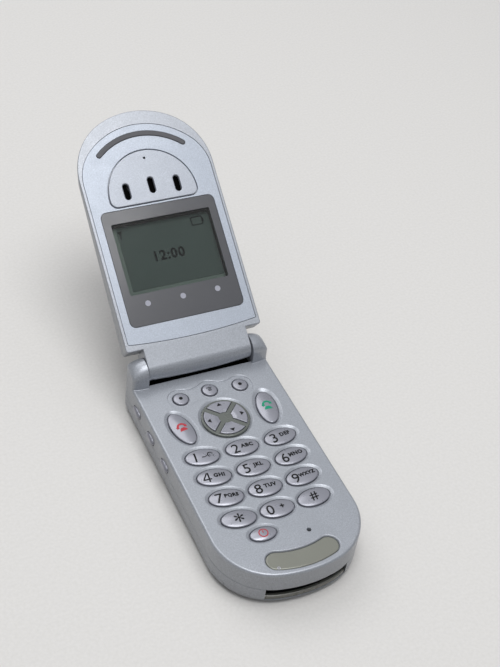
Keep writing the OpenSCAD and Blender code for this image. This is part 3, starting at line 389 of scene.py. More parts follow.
class Shader:
    """A Principled material whose colour, roughness and bump come from noise at named scales."""

    def __init__(self, name, colour, roughness, metallic=0.0, coat=0.0, specular=0.5):
        self.material = bpy.data.materials.new(name)
        self.material.use_nodes = True
        self.nodes = self.material.node_tree.nodes
        self.links = self.material.node_tree.links
        self.base = self.nodes["Principled BSDF"]
        self.colour = colour
        self.colour_out = None
        self.place = self.nodes.new("ShaderNodeTexCoord").outputs["Object"]
        set_inputs(self.base, {"Base Color": colour, "Roughness": roughness, "Metallic": metallic,
                               "Coat Weight": coat, "Coat Roughness": 0.12, "Specular IOR Level": specular})

    def noise(self, size, detail=2.0, stretch=None):
        """Noise whose features are about `size` millimetres across."""
        place = self.place
        if stretch:
            mapping = self.nodes.new("ShaderNodeMapping")
            mapping.inputs["Scale"].default_value = stretch
            self.links.new(place, mapping.inputs["Vector"])
            place = mapping.outputs["Vector"]
        node = self.nodes.new("ShaderNodeTexNoise")
        set_inputs(node, {"Scale": 1 / (size * MM), "Detail": detail})
        self.links.new(place, node.inputs["Vector"])
        return node.outputs["Fac"]

    def ramp(self, value, low, high):
        """Noise stretched to the range from low to high."""
        node = self.nodes.new("ShaderNodeMapRange")
        set_inputs(node, {"From Min": NOISE_LOW, "From Max": NOISE_HIGH, "To Min": low, "To Max": high})
        self.links.new(value, node.inputs["Value"])
        return node.outputs["Result"]

    def mix(self, factor):
        """Node that mixes two colours, which takes over the base colour."""
        node = self.nodes.new("ShaderNodeMix")
        node.data_type = "RGBA"
        self.links.new(factor, node.inputs["Factor"])
        self.links.new(node.outputs[MIX_OUT], self.base.inputs["Base Color"])
        return node

    def tint(self, value, colour, amount):
        """Mixes a colour in where the noise is high."""
        node = self.mix(self.ramp(value, 0, amount))
        if self.colour_out:
            self.links.new(self.colour_out, node.inputs[MIX_A])
        else:
            node.inputs[MIX_A].default_value = self.colour
        node.inputs[MIX_B].default_value = colour
        self.colour_out = node.outputs[MIX_OUT]

    def rough(self, value, low, high):
        self.links.new(self.ramp(value, low, high), self.base.inputs["Roughness"])

    def bump(self, value, height):
        """Bump whose full height is given in millimetres."""
        node = self.nodes.new("ShaderNodeBump")
        set_inputs(node, {"Distance": height * MM, "Strength": 1.0})
        self.links.new(value, node.inputs["Height"])
        self.links.new(node.outputs["Normal"], self.base.inputs["Normal"])

    def seen_as(self, bounce):
        """Keeps the colour for what is seen directly or mirrored, and lights other things by `bounce`."""
        path = self.nodes.new("ShaderNodeLightPath")
        seen = path.outputs["Is Camera Ray"]
        for ray in ("Is Glossy Ray", "Is Transmission Ray"):
            either = self.nodes.new("ShaderNodeMath")
            either.operation = "MAXIMUM"
            self.links.new(seen, either.inputs[0])
            self.links.new(path.outputs[ray], either.inputs[1])
            seen = either.outputs["Value"]
        node = self.mix(seen)
        node.inputs[MIX_A].default_value = bounce
        self.links.new(self.colour_out, node.inputs[MIX_B])


def metallic_paint(name, colour, roughness, metallic, grain=0.22):
    """Sprayed silver lacquer: fine flakes, slight cloudiness and worn, duller patches."""
    s = Shader(name, colour, roughness, metallic, coat=0.15)
    flakes = s.noise(grain, 3)
    s.tint(flakes, shaded(colour, 1.5), 0.75)
    s.tint(s.noise(grain * 1.9, 2), shaded(colour, 0.62), 0.42)
    s.tint(s.noise(11, 4), shaded(colour, 0.9), 0.3)
    s.rough(s.noise(4, 4), roughness - 0.02, roughness + 0.03)
    s.bump(flakes, 0.006)
    return s.material


def moulded(name, colour, roughness, coat=0.0, grain=0.3, metallic=0.0, specular=0.5):
    """Moulded or lacquered plastic with a faint texture."""
    s = Shader(name, colour, roughness, metallic, coat, specular)
    s.tint(s.noise(grain, 2), shaded(colour, 1.12), 0.5)
    s.tint(s.noise(5, 2), shaded(colour, 0.9), 0.4)
    s.rough(s.noise(2.5, 1), roughness - 0.02, roughness + 0.05)
    return s.material


def metal(name, colour, roughness):
    """Plated metal with drawn streaks."""
    s = Shader(name, colour, roughness, 1.0)
    streaks = s.noise(0.35, 3, stretch=(1, 8, 8))
    s.tint(streaks, shaded(colour, 0.7), 0.5)
    s.rough(streaks, roughness - 0.06, roughness + 0.12)
    s.bump(streaks, 0.003)
    return s.material


def printed(name, colour, roughness=0.5, specular=0.25):
    """Printed ink, slightly worn."""
    s = Shader(name, colour, roughness, specular=specular)
    s.tint(s.noise(0.35, 3), shaded(colour, 1.5), 0.3)
    s.rough(s.noise(0.5, 2), roughness - 0.06, roughness + 0.08)
    return s.material


def clear_pane(name):
    """Thin clear sheet: light passes straight through, and its gloss follows the viewing angle."""
    s = Shader(name, (1.0, 1.0, 1.0, 1.0), 0.05)
    s.rough(s.noise(3, 4), 0.04, 0.1)
    clear = s.nodes.new("ShaderNodeBsdfTransparent")
    clear.inputs["Color"].default_value = (0.96, 0.97, 0.96, 1.0)
    gloss = s.nodes.new("ShaderNodeFresnel")
    gloss.inputs["IOR"].default_value = 1.3
    mix = s.nodes.new("ShaderNodeMixShader")
    s.links.new(gloss.outputs["Fac"], mix.inputs["Fac"])
    s.links.new(clear.outputs["BSDF"], mix.inputs[1])
    s.links.new(s.base.outputs["BSDF"], mix.inputs[2])
    s.links.new(mix.outputs["Shader"], s.nodes["Material Output"].inputs["Surface"])
    return s.material


HOUSING = metallic_paint("housing_paint", srgb(166, 170, 177), 0.36, 0.38)
PANEL = metallic_paint("panel_paint", srgb(171, 178, 189), 0.38, 0.35, grain=0.18)
GRILLE = metallic_paint("grille_paint", srgb(168, 173, 182), 0.38, 0.35, grain=0.16)
KEYS = moulded("key_lacquer", srgb(158, 159, 168), 0.28, coat=0.3, grain=0.25, metallic=0.45)
OLIVE = moulded("olive_plastic", srgb(108, 112, 107), 0.26, coat=0.4, metallic=0.3)
PLATE = moulded("plate_plastic", srgb(141, 142, 132), 0.22, coat=0.5, metallic=0.3)
MASK = moulded("window_mask", srgb(72, 73, 78), 0.3, coat=0.5, grain=0.18)
RUBBER = moulded("bumper_rubber", srgb(92, 92, 96), 0.62, grain=0.2)
BLACK = moulded("black_plastic", srgb(22, 22, 23), 0.5)
# Near-black: the earpiece cloth and the microphone, and painted shade in the hinge trough and the display
# well.
CLOTH_AND_SHADE = moulded("dark_cloth_and_shade", srgb(7, 7, 7), 0.9, specular=0.05)
LIP = moulded("lip_plastic", srgb(112, 112, 106), 0.28, coat=0.4, metallic=0.3)
CRYSTAL = moulded("liquid_crystal", srgb(60, 72, 69), 0.7, grain=0.5, specular=0.1)
CRYSTAL_EDGE = moulded("crystal_edge", srgb(84, 98, 92), 0.5, specular=0.2)
PIXELS = printed("pixels", srgb(6, 9, 9), 0.85, 0.0)
INK = printed("black_ink", srgb(9, 9, 11))
RED_INK = printed("red_ink", srgb(178, 54, 64))
GREEN_INK = printed("green_ink", srgb(22, 142, 108))
DOT_INK = printed("dot_ink", srgb(166, 167, 178))
CLEAR = clear_pane("clear_window")
STEEL = metal("plated_steel", srgb(190, 190, 190), 0.28)
GOLD = metal("gold_plating", srgb(214, 176, 96), 0.3)
BOARD = moulded("board_green", srgb(28, 92, 58), 0.4, coat=0.3)
BATTERY = moulded("battery_sleeve", srgb(52, 52, 58), 0.4)
MAT = moulded("mat_silicone", srgb(168, 170, 174), 0.5)
FILM = moulded("flex_film", srgb(176, 112, 40), 0.3, coat=0.3)
SHEET = moulded("dome_film", srgb(206, 204, 188), 0.35)


# ---- Key tops ----

class KeyTop:
    """Oval cap in its own frame: its half axes, the height of its dome and the pose of that frame."""

    def __init__(self, node, a, b, turn=0, rise=0.26, dome=0.4):
        self.center = middle(node)
        self.a, self.b = a, b
        self.pose = upright(self.center, turn)
        self.top = FACE_Z + rise
        self.dome = dome

    def height(self, x, y):
        """Height of the dome over a point in the cap's own frame."""
        reach = min(1.0, (x / self.a) ** 2 + (y / self.b) ** 2)
        return self.top - self.dome * reach

    def cap(self):
        """Cap with a flange under the keypad face, a rounded edge and a domed top."""
        play, flange, edge = 0.08, 0.5, 0.2
        a, b = self.a - play, self.b - play
        flange_top = CEILING_Z - 0.02
        rings = [at_height(ellipse(a + flange, b + flange), z) for z in (CEILING_Z - 0.7, flange_top)]
        rings += [at_height(ellipse(a, b), z) for z in (flange_top, self.height(a, 0) - edge)]
        for inward, up in bend(22, 45, 68, 90):
            inset, drop = edge * inward, edge * (1 - up)
            rings.append(at_height(ellipse(a - inset, b - inset), self.height(a - inset, 0) - drop))
        for k in (0.86, 0.74, 0.6, 0.45, 0.3, 0.15):
            rings.append(at_height(ellipse(a * k, b * k), self.height(a * k, 0)))
        return moved(loft(rings), self.pose)

    def well(self, width=0.75, depth=0.44):
        """Cutter for the key's hole and the shallow funnel around it, which leans to the outer side."""
        lean = 0 if abs(self.center.x) < 1 else math.copysign(0.15, self.center.x)
        a, b = self.a + KEY_GAP, self.b + KEY_GAP
        rings = [at_height(ellipse(a, b), z) for z in (CEILING_Z - 3, FACE_Z - depth - 0.1)]
        for out, z in funnel(width, depth):
            rings.append(at_height(placed(ellipse(a + out, b + out), lean * out / width), z))
        return moved(loft(rings), self.pose)


def funnel(width, depth):
    """(distance from the hole's edge, height) of a slope that flattens out into the keypad face."""
    steps, power, over = 9, 1.15, 0.01
    slope = [(width * i / steps, FACE_Z + over - depth * (1 - i / steps) ** power) for i in range(steps + 1)]
    return slope + [(width + 0.1, FACE_Z + 0.6)]


DIGITS = {
    "key_1": ("1", "_.@"), "key_2": ("2", "ABC"), "key_3": ("3", "DEF"),
    "key_4": ("4", "GHI"), "key_5": ("5", "JKL"), "key_6": ("6", "MNO"),
    "key_7": ("7", "PQRS"), "key_8": ("8", "TUV"), "key_9": ("9", "WXYZ"),
    "key_star": ("*", ""), "key_0": ("0", "+"), "key_hash": ("#", ""),
}
LETTER_SIZES = {1: 2.4, 3: 1.75, 4: 1.55}  # by the number of letters on the key
KEY_TILT = 6
CALL_LEAN = 9
CALL_TURNS = {"key_end": 90 + CALL_LEAN, "key_send": 90 - CALL_LEAN}
TOP_NODES = ("key_soft_left", "key_menu", "key_soft_right")


def digit_turn(node):
    """The outer columns are tilted, the middle one is level."""
    x = middle(node).x
    return math.copysign(KEY_TILT, x) if abs(x) > 1 else 0


KEY_TOPS = {node: KeyTop(node, a=4.95, b=2.85, turn=digit_turn(node)) for node in DIGITS}
KEY_TOPS |= {node: KeyTop(node, a=6.2, b=3.0, turn=turn, dome=0.45) for node, turn in CALL_TURNS.items()}
KEY_TOPS["key_power"] = KeyTop("key_power", a=3.8, b=2.2)
KEY_TOPS |= {node: KeyTop(node, a=2.25, b=2.25, rise=0.22, dome=0.22) for node in TOP_NODES}


def key_cap(node, *geometries, sharp=32):
    add_piece(node + "_cap", to_mesh(node, *geometries), KEYS, node, node, sharp=sharp)


# ---- Legends ----

def flat_text(text, size, spacing=1.0, weight=0.0):
    """Triangulated outline of a short text, centred on the origin, in millimetres."""
    curve = bpy.data.curves.new("legend", "FONT")
    curve.body = text
    curve.size = size
    curve.space_character = spacing
    curve.offset = weight
    curve.align_x = "CENTER"
    curve.resolution_u = 3
    obj = linked("legend", curve)
    graph = bpy.context.evaluated_depsgraph_get()
    mesh = bpy.data.meshes.new_from_object(obj.evaluated_get(graph))
    verts, faces = geometry_of(mesh)
    bpy.data.objects.remove(obj)
    low = min(v[1] for v in verts)
    high = max(v[1] for v in verts)
    return [(v[0], v[1] - (low + high) / 2, 0.0) for v in verts], faces


def flat_polygon(points):
    return [(x, y, 0.0) for x, y in points], [tuple(range(len(points)))]


def flat_box(x0, y0, x1, y1):
    return flat_polygon([(x0, y0), (x1, y0), (x1, y1), (x0, y1)])


def flat_ring(r_out, r_in, start=0, end=360):
    steps = 40
    outer, inner = arc((0, 0), r_out, start, end, steps), arc((0, 0), r_in, start, end, steps)
    verts = [(x, y, 0.0) for x, y in outer + inner]
    n = steps + 1
    return verts, [(i, i + 1, i + 1 + n, i + n) for i in range(steps)]


def shifted(geometries, x=0.0, y=0.0, turn=0.0):
    """Turns flat shapes about the origin and then moves them."""
    return [([(px, py, 0.0) for px, py in placed([v[:2] for v in verts], x, y, turn)], faces)
            for verts, faces in geometries]


def lay_on(name, geometries, height, matrix, material, body):
    """Lays flat shapes on a curved surface as a thin printed layer."""
    longest, ink = 0.6, 0.02
    mesh = to_mesh(name, *geometries)
    work = bmesh.new()
    work.from_mesh(mesh)
    bmesh.ops.triangulate(work, faces=work.faces)
    for _ in range(2):
        long_edges = [e for e in work.edges if e.calc_length() > longest]
        if long_edges:
            bmesh.ops.subdivide_edges(work, edges=long_edges, cuts=1)
            bmesh.ops.triangulate(work, faces=work.faces)
    for v in work.verts:
        v.co.z = height(v.co.x, v.co.y) + ink
    for f in work.faces:
        if f.normal.z < 0:
            f.normal_flip()
    work.to_mesh(mesh)
    work.free()
    add_piece(name, mesh, material, body, pose=matrix)


def key_legend(node, geometries, material):
    top = KEY_TOPS[node]
    lay_on(node + "_legend", geometries, top.height, top.pose, material, node)


def handset(width):
    """Telephone receiver: a bow that ends in two thick square pads."""
    r = width / 2
    shapes = shifted([flat_ring(r, r * 0.58, 18, 162)], 0, -r * 0.35)
    for side in (-1, 1):
        shapes += shifted([flat_box(-0.42, -0.4, 0.42, 0.36)], side * (r - 0.32), -r * 0.22, -12 * side)
    return shapes


def telephone(lift, turn):
    """Receiver above the body of a telephone; it is lifted off when the call is taken."""
    body = [(-1.25, -1.35), (1.25, -1.35), (0.85, -0.55), (0.4, -0.2), (-0.4, -0.2), (-0.85, -0.55)]
    return [flat_polygon(body)] + shifted(handset(3.0), 0, 0.6 + lift, turn)


# ---- Keypad half ----

def fillet_arc(a, b, r, fillet_r):
    """Concave arc tangent to two circles of radius r around a and b, on the right of the way to b."""
    half, reach = (b - a) / 2, r + fillet_r
    along = half.normalized()
    c = a + half + Vector((along.y, -along.x)) * math.sqrt(reach * reach - half.length ** 2)
    start = math.degrees(math.atan2(a.y - c.y, a.x - c.x))
    end = math.degrees(math.atan2(b.y - c.y, b.x - c.x))
    return arc(c, fillet_r, start, start + (end - start + 180) % 360 - 180, 14)


def lobed_outline():
    """Outline of the shallow field that the three top keys share, counterclockwise."""
    r, fillet_r = 3.75, 6
    left, mid, right = [middle(node).xy for node in TOP_NODES]
    stops = (mid, right, mid, left)
    fillets = [fillet_arc(stops[i - 1], stop, r, fillet_r) for i, stop in enumerate(stops)]
    points = []
    for i, c in enumerate(stops):
        leave = fillets[(i + 1) % len(fillets)][0]
        a0 = math.degrees(math.atan2(fillets[i][-1][1] - c.y, fillets[i][-1][0] - c.x))
        a1 = math.degrees(math.atan2(leave[1] - c.y, leave[0] - c.x))
        points += fillets[i] + arc(c, r, a0, a0 + (a1 - a0) % 360, 24)[1:-1]
    return points


def pocket(points, depth, lip):
    """Cutter for a pocket in the keypad face with a rounded lip."""
    edge = min(depth, lip)
    rings = [at_height(points, FACE_Z - depth), at_height(points, FACE_Z - edge)]
    for inward, up in bend(30, 60, 90):
        rings.append(at_height(inset_loop(points, -lip * inward), FACE_Z - edge + (edge + 0.02) * up))
    rings.append(at_height(inset_loop(points, -lip - 0.3), FACE_Z + 0.5))
    return loft(rings)


def knuckle(side):
    """Ear of the hinge: a round-topped block whose outer end is rounded over."""
    shoulder, reach, drop, slant, foot, edge = 0.3, 4.6, 2.8, 0.1, 0.3, 0.12
    low = PARTING_Z + 1
    top_r = KNUCKLE_R - 0.45
    stations = [0.0, edge, shoulder]
    stations += [shoulder + reach * math.sin(math.radians(a)) for a in range(12, 91, 13)]
    rings = []
    for x in stations:
        t = max(0.0, (x - shoulder) / reach)
        fall = drop * (1 - math.sqrt(max(0.0, 1 - t * t))) + slant * x if x else edge
        tall, deep = top_r - fall, KNUCKLE_R - 0.3 * fall
        front = HINGE.y - deep
        section = [(front - foot, low), (front - foot, FACE_Z - 0.03)]
        section += [(front - foot * (1 - up), FACE_Z + foot * inward) for inward, up in bend(30, 60)]
        section += [(HINGE.y + y * deep, HINGE.z + z * tall) for y, z in arc((0, 0), 1, 180, 0, 24)]
        section += [(HINGE.y + deep, low)]
        rings.append([(side * (KNUCKLE_IN + x), y, z) for y, z in section])
    return loft(rings)


SIDE_NODES = ("side_key_up", "side_key_down", "side_key_voice")
SIDE_A, SIDE_B = 2.5, 1.3
SIDE_WALL_X = -HALF_W


def side_hole(node):
    """Cutter through the left wall for a side key."""
    c, gap = middle(node), 0.2
    points = placed(ellipse(SIDE_A + gap, SIDE_B + gap, 48), c.y, c.z)
    return along_x(points, SIDE_WALL_X - 1, SIDE_WALL_X + 2.5)


def plate_outline(grow=0.0):
    radius, half_width = 25, 2.75
    low_y = HINGE.y - 76.3
    return arc_capsule((0, low_y + radius + half_width), radius, 18, half_width, grow)


def front_shell():
    """Hollow shell with the ears of the hinge and the trough between them."""
    rings = [at_height(body_outline(SEAM), PARTING_Z), at_height(body_outline(), PARTING_Z + SEAM)]
    rings += [at_height(body_outline(inset), FACE_Z - FACE_ROUND + h) for inset, h in quarter(FACE_ROUND)]
    mesh = cut(to_mesh("front", loft(rings)), prism(body_outline(WALL), PARTING_Z - 1, CEILING_Z))
    ears = trimmed(to_mesh("ears", knuckle(-1), knuckle(1)), prism(body_outline(), PARTING_Z, FAR))
    skin = 1.2
    trough = box((-KNUCKLE_IN - skin, RECESS_FRONT - skin, RECESS_Z - skin),
                 (KNUCKLE_IN + skin, BACK_Y - 0.7, RECESS_Z + 0.8))
    back_lip = box((-KNUCKLE_IN - 0.1, RECESS_BACK, CEILING_Z),
                   (KNUCKLE_IN + 0.1, BACK_Y - 0.02, FACE_Z + 0.2))
    mesh = fused(mesh, geometry_of(ears), trough, back_lip)
    return cut(mesh, box((-KNUCKLE_IN, RECESS_FRONT, RECESS_Z), (KNUCKLE_IN, RECESS_BACK, FAR)))


def key_wells():
    """Cutters for all keys in the face. The top keys share a field, so their funnels are narrow."""
    for node, top in KEY_TOPS.items():
        if node in TOP_NODES:
            yield top.well(width=0.35, depth=0.42)
        elif node in CALL_TURNS:
            yield top.well(width=1.0, depth=0.52)
        else:
            yield top.well()


def nav_seat():
    """Cutter for the navigation frame's seat and the funnel around it."""
    radius = NAV_R + 0.2
    rings = [at_height(circle(radius, 96), FACE_Z - 0.8)]
    rings += [at_height(circle(radius + out, 96), z) for out, z in funnel(width=0.8, depth=0.5)]
    return moved(loft(rings), upright(middle("nav_frame")))


def front_housing():
    nav, mic = middle("nav_frame"), middle("microphone")
    mesh = cut(front_shell(), pocket(lobed_outline(), depth=0.26, lip=0.35), *key_wells(), nav_seat())
    mesh = cut(mesh, cylinder(nav.xy, NAV_R - 0.3, CEILING_Z - 1, FACE_Z, 96),
               pocket(plate_outline(0.12), depth=0.9, lip=0.5),
               pocket(placed(circle(0.6, 24), mic.x, mic.y), depth=3, lip=0.2))
    mesh = cut(mesh, *[side_hole(node) for node in SIDE_NODES])
    add_piece("front_housing_skin", mesh, HOUSING, "base", "base_front_housing")


def trough_shade_sheet():
    """Near-black sheet on the floor and the front wall of the hinge trough: painted shade for the deep gap
    between the knuckles.
    """
    thick, gap, side = 0.15, 0.01, KNUCKLE_IN - 0.02
    front, low = RECESS_FRONT + gap, RECESS_Z + gap
    bottom = box((-side, front, low), (side, RECESS_BACK - gap, RECESS_Z + thick))
    wall = box((-side, front, RECESS_Z + thick), (side, RECESS_FRONT + thick, FACE_Z - 0.25))
    add_piece("hinge_trough_shade_sheet", to_mesh("shade_sheet", bottom, wall), CLOTH_AND_SHADE, "base")


def bottom_solid(top_z):
    """Solid between the rounded back edge and a parting line."""
    rings = [at_height(body_outline(inset), BACK_ROUND - h) for inset, h in reversed(quarter(BACK_ROUND, 8))]
    rings += [at_height(body_outline(), top_z - SEAM), at_height(body_outline(SEAM), top_z)]
    return loft(rings)


def rear_housing():
    """Rear housing above the battery door, with its deck and the bulkhead at the door's end."""
    slot_low, slot_high = corners("accessory_connector")
    inner = body_outline(WALL / 2)
    mesh = cut(to_mesh("rear", bottom_solid(PARTING_Z - SPLIT)),
               prism(body_outline(WALL), 1.1, PARTING_Z + 1),
               box((-FAR, DOOR_FRONT, -1), (FAR, 2 * FAR, DOOR_TOP)))
    deck = cut(to_mesh("deck", prism(inner, 5.1, 5.65)),
               box((-FAR, TIP_Y - 1, 5), (FAR, DOOR_FRONT - 1, 5.8)))
    bulkhead = trimmed(to_mesh("bulkhead", box((-FAR, DOOR_FRONT - 1.2, 0.6), (FAR, DOOR_FRONT, 5.4))),
                       prism(inner, 0, 6))
    mesh = fused(mesh, geometry_of(deck), geometry_of(bulkhead))
    mouth = box((slot_low.x + MOUTH_SIDE - 0.15, TIP_Y - 1, slot_low.z),
                (slot_high.x - MOUTH_SIDE + 0.15, TIP_Y + 8, PARTING_Z + 1))
    add_piece("rear_housing_skin", cut(mesh, mouth), HOUSING, "base", "base_rear_housing")


def battery_door():
    """Door with a grip of grooves and four hooks that point towards the tip."""
    grooves, pitch, half_length = 5, 1.6, 9
    hook_x, half, top = 17.9, 0.6, 4.33
    hollow = loft([at_height(body_outline(BACK_ROUND + 0.3), 1.1), at_height(body_outline(WALL), BACK_ROUND),
                   at_height(body_outline(WALL), 6)])
    mesh = cut(to_mesh("door", bottom_solid(DOOR_TOP - SPLIT)), hollow,
               box((-FAR, TIP_Y - 5, -5), (FAR, DOOR_FRONT + 0.15, 20)))
    for i in range(grooves):
        y = HINGE.y - 58 + pitch * i + 0.4
        groove = [(y + p, z) for p, z in arc((0, -0.15), 0.5, 0, 360, 16)[:-1]]
        mesh = cut(mesh, along_x(groove, -half_length, half_length))
    for from_hinge in (19, 52):
        y = HINGE.y - from_hinge
        for x in (-hook_x, hook_x):
            post = box((x - half, y, 0.5), (x + half, y + 1.4, top))
            hook = box((x - half, y - 2.4, top - 0.7), (x + half, y + 0.7, top))
            mesh = fused(mesh, post, hook)
    add_piece("battery_door_skin", mesh, HOUSING, "door", "battery_door")


def figure(digit):
    """Large figure on a key; the 4 is drawn with an open counter."""
    if digit != "4":
        return [flat_text(digit, 4.5, weight=0.04)]
    slope = flat_polygon([(-1.2, -0.5), (-0.72, -0.5), (0.5, 1.6), (0.1, 1.6)])
    return [flat_box(0.3, -1.6, 0.74, 1.6), flat_box(-1.2, -0.9, 1.2, -0.5), slope]


def digit_keys():
    for node, (digit, letters) in DIGITS.items():
        key_cap(node, KEY_TOPS[node].cap())
        if letters:
            text = flat_text(letters, LETTER_SIZES[len(letters)], spacing=1.14, weight=0.1)
            shapes = shifted(figure(digit), -2.15, -0.1) + shifted([text], 1.45, 0.2)
        else:
            shapes = [flat_text(digit, 6.4 if digit == "*" else 3.9, weight=0.06)]
        key_legend(node, shapes, INK)


def other_keys():
    for node in (*CALL_TURNS, "key_power", *TOP_NODES):
        key_cap(node, KEY_TOPS[node].cap())
    hang_up, take_up = -90 - CALL_LEAN + 10, -90 + CALL_LEAN - 4
    key_legend("key_end", shifted(telephone(lift=0, turn=0), 0.1, 0, hang_up), RED_INK)
    key_legend("key_send", shifted(telephone(lift=0.35, turn=14), 0.1, 0, take_up), GREEN_INK)
    key_legend("key_power", [flat_ring(1.35, 1.05), flat_box(-0.14, 0.0, 0.14, 0.75)], RED_INK)
    for node in ("key_soft_left", "key_soft_right"):
        key_legend(node, [flat_polygon(circle(0.58, 24))], INK)
    bars = []
    for half, y in ((0.85, 0.65), (0.5, 0.1), (0.5, -0.4)):
        bars += shifted([flat_box(-half, -0.16, half, 0.16)], 0, y)
    key_legend("key_menu", bars, INK)


def sector(r_out, r_in, arm):
    """Quarter of a ring between the arms of a cross, pointing along +X."""
    outer_a, inner_a = [45 - math.degrees(math.asin(arm / 2 / r)) for r in (r_out, r_in)]
    return arc((0, 0), r_out, -outer_a, outer_a, 16) + arc((0, 0), r_in, inner_a, -inner_a, 8)


NAV_NODES = {"key_nav_right": 0, "key_nav_up": 90, "key_nav_left": 180, "key_nav_down": 270}


def nav_dish():
    """Cutter for the shallow round dish that the navigation keys and the hub share."""
    radius, depth, steps = 3.4, 0.3, 8
    rings = []
    for i in range(1, steps + 1):
        r = radius * i / steps
        rings.append(at_height(circle(r), NAV_TOP + depth * (r / radius) ** 2))
    rings.append(at_height(circle(radius + 0.5), NAV_TOP + depth + 0.4))
    return moved(loft(rings), upright(middle("nav_frame")))


def navigation():
    """Frame with a cross and a hub, and the four keys in its windows."""
    center = middle("nav_frame")
    window_r, hub_r, arm = NAV_R - 0.6, 2.0, 1.2
    ring = placed(circle(NAV_R, 96), center.x, center.y)
    mesh = to_mesh("nav", plate(ring, FACE_Z - 0.8, NAV_TOP, bevel=0.25, steps=4))
    for turn in NAV_NODES.values():
        window = placed(sector(window_r, hub_r, arm), center.x, center.y, turn)
        mesh = cut(mesh, prism(window, FACE_Z - 2, FACE_Z + 1))
    add_piece("nav_frame_skin", cut(mesh, nav_dish()), OLIVE, "base", "nav_frame")
    gap, hub_gap, top_z = 0.16, 0.08, FACE_Z + 0.38
    for node, turn in NAV_NODES.items():
        outline = placed(sector(window_r - gap, hub_r + hub_gap, arm + 2 * gap), center.x, center.y, turn)
        cap = cut(to_mesh(node, plate(outline, FACE_Z - 1, top_z, bevel=0.24, steps=5)), nav_dish())
        flange = prism(placed(sector(6.75, 1.6, 0.9), center.x, center.y, turn), FACE_Z - 1.5, FACE_Z - 0.82)
        key_cap(node, geometry_of(cap), flange)
        arrow = flat_polygon([(5.7, 0), (4.6, 0.8), (4.6, -0.8)])
        lay_on(node + "_legend", [arrow], lambda x, y: top_z, upright(center, turn), INK, node)


def side_keys():
    """Oval caps with a flange inside the wall and a domed face that stands out of it."""
    out, edge = 0.8, 0.1
    profile = [(0.4, -WALL - 0.6), (0.4, -WALL), (0.0, -WALL), (0.0, -edge)]
    profile += [(-SIDE_B * 0.85 * inward, -edge + (out + edge) * up) for inward, up in bend(20, 40, 60, 80)]
    for node in SIDE_NODES:
        c = middle(node)
        rings = []
        for grow, reach in profile:
            points = placed(ellipse(SIDE_A + grow, SIDE_B + grow, 40), c.y, c.z)
            rings.append([(SIDE_WALL_X - reach, y, z) for y, z in points])
        key_cap(node, loft(rings), sharp=40)


def nameplate():
    top_z = FACE_Z - 0.25
    mesh = to_mesh("plate", plate(plate_outline(), FACE_Z - 0.85, top_z, bevel=0.35, steps=4))
    add_piece("nameplate_skin", mesh, PLATE, "base", "nameplate")
    ring = shifted([flat_ring(0.45, 0.25)], -8.0, HINGE.y - 74.6)
    lay_on("nameplate_ring", ring, lambda x, y: top_z, Matrix(), DOT_INK, "base")


def connector():
    """Black block with contacts in the mouth and the glossy lip below it."""
    low, high = corners("accessory_connector")
    low.x += MOUTH_SIDE
    high.x -= MOUTH_SIDE
    mouth_z, lip_in, floor_t = 3.25, 1.25, 0.8
    lip_rings = [at_height(body_outline(inset), z) for inset, z in
                 ((0.55, low.z), (0.3, low.z + 0.25), (0.3, mouth_z - 0.4), (0.38, mouth_z - 0.16),
                  (0.62, mouth_z - 0.02), (0.8, mouth_z))]
    reach = box((low.x, TIP_Y - 1, 0), (high.x, TIP_Y + 4.4, 20))
    lip = cut(trimmed(to_mesh("lip", loft(lip_rings)), reach),
              prism(body_outline(lip_in), low.z + floor_t, mouth_z + 1),
              box((-12.4, TIP_Y - 1, 0), (-12.2, TIP_Y + 20, 20)))
    add_piece("connector_lip", lip, LIP, "base")
    block = box((low.x, TIP_Y + 4.5, low.z), (high.x, high.y, high.z))
    tongue = box((low.x + 3, TIP_Y + 2.4, mouth_z + 0.8), (high.x - 3, TIP_Y + 5, mouth_z + 1.6))
    floor = box((low.x + 0.1, TIP_Y - 1, low.z + floor_t), (high.x - 0.1, TIP_Y + 4.6, low.z + 1.1))
    floor = trimmed(to_mesh("floor", floor), prism(body_outline(lip_in), 0, 9))
    mesh = to_mesh("block", block, tongue, geometry_of(floor))
    add_piece("connector_block", mesh, BLACK, "base", "accessory_connector")
    count, pitch, half = 12, 1.6, 0.3
    pins = []
    for i in range(count):
        x = (low.x + high.x) / 2 + (i - (count - 1) / 2) * pitch
        pins.append(box((x - half, TIP_Y + 2.6, mouth_z + 1.58), (x + half, TIP_Y + 4.6, mouth_z + 1.66)))
    add_piece("connector_pins", to_mesh("pins", *pins), GOLD, "base")


# ---- Lid ----

VIEW_HALF, VIEW_LOW, VIEW_HIGH = 15.65, -43.65, -21.65
WINDOW_LOW, WINDOW_HIGH = -47.55, -12.2
GRILLE_Y, GRILLE_R, GRILLE_EDGE, GRILLE_CORNER = -50.85, 13.8, -48.45, 2.2
PINHOLE_Y = -62.2
SLOT_X, SLOT_Y, SLOT_DROP = 8.05, -53.55, 0.8
SLOTS = (-1, 0, 1)
FACE_CUT = (LID_IN - 1, LID_IN + 2)  # reach of a cutter through the plates in the lid's face
READING_POSE = LID_POSE @ Matrix.Diagonal((1, -1, -1, 1))  # from x right, y up the lid, z out of its face


def neck_ring(x, edge):
    """Section through the neck and the barrel, which is thickest in the middle of its length."""
    bulge = 3.2 + 0.6 * (1 - (x / BARREL_HALF) ** 2)
    middle_z = LID_IN + BARREL_R
    heel = LID_START + 1.3
    points = [(-heel, LID_IN + 0.005)]
    points += [(bulge * y, middle_z + BARREL_R * z) for y, z in arc((0, 0), 1, -90, 90, 60)]
    points += [(-LID_START, middle_z + BARREL_R), (-LID_START, LID_PART), (-heel, LID_PART)]
    return [(x, y, z) for y, z in inset_loop(points, edge)]


def barrel():
    edge, steps = 0.15, 24
    end = BARREL_HALF - edge
    inside = [neck_ring(end * (2 * i / steps - 1), 0) for i in range(steps + 1)]
    return loft([neck_ring(-BARREL_HALF, edge)] + inside + [neck_ring(BARREL_HALF, edge)])


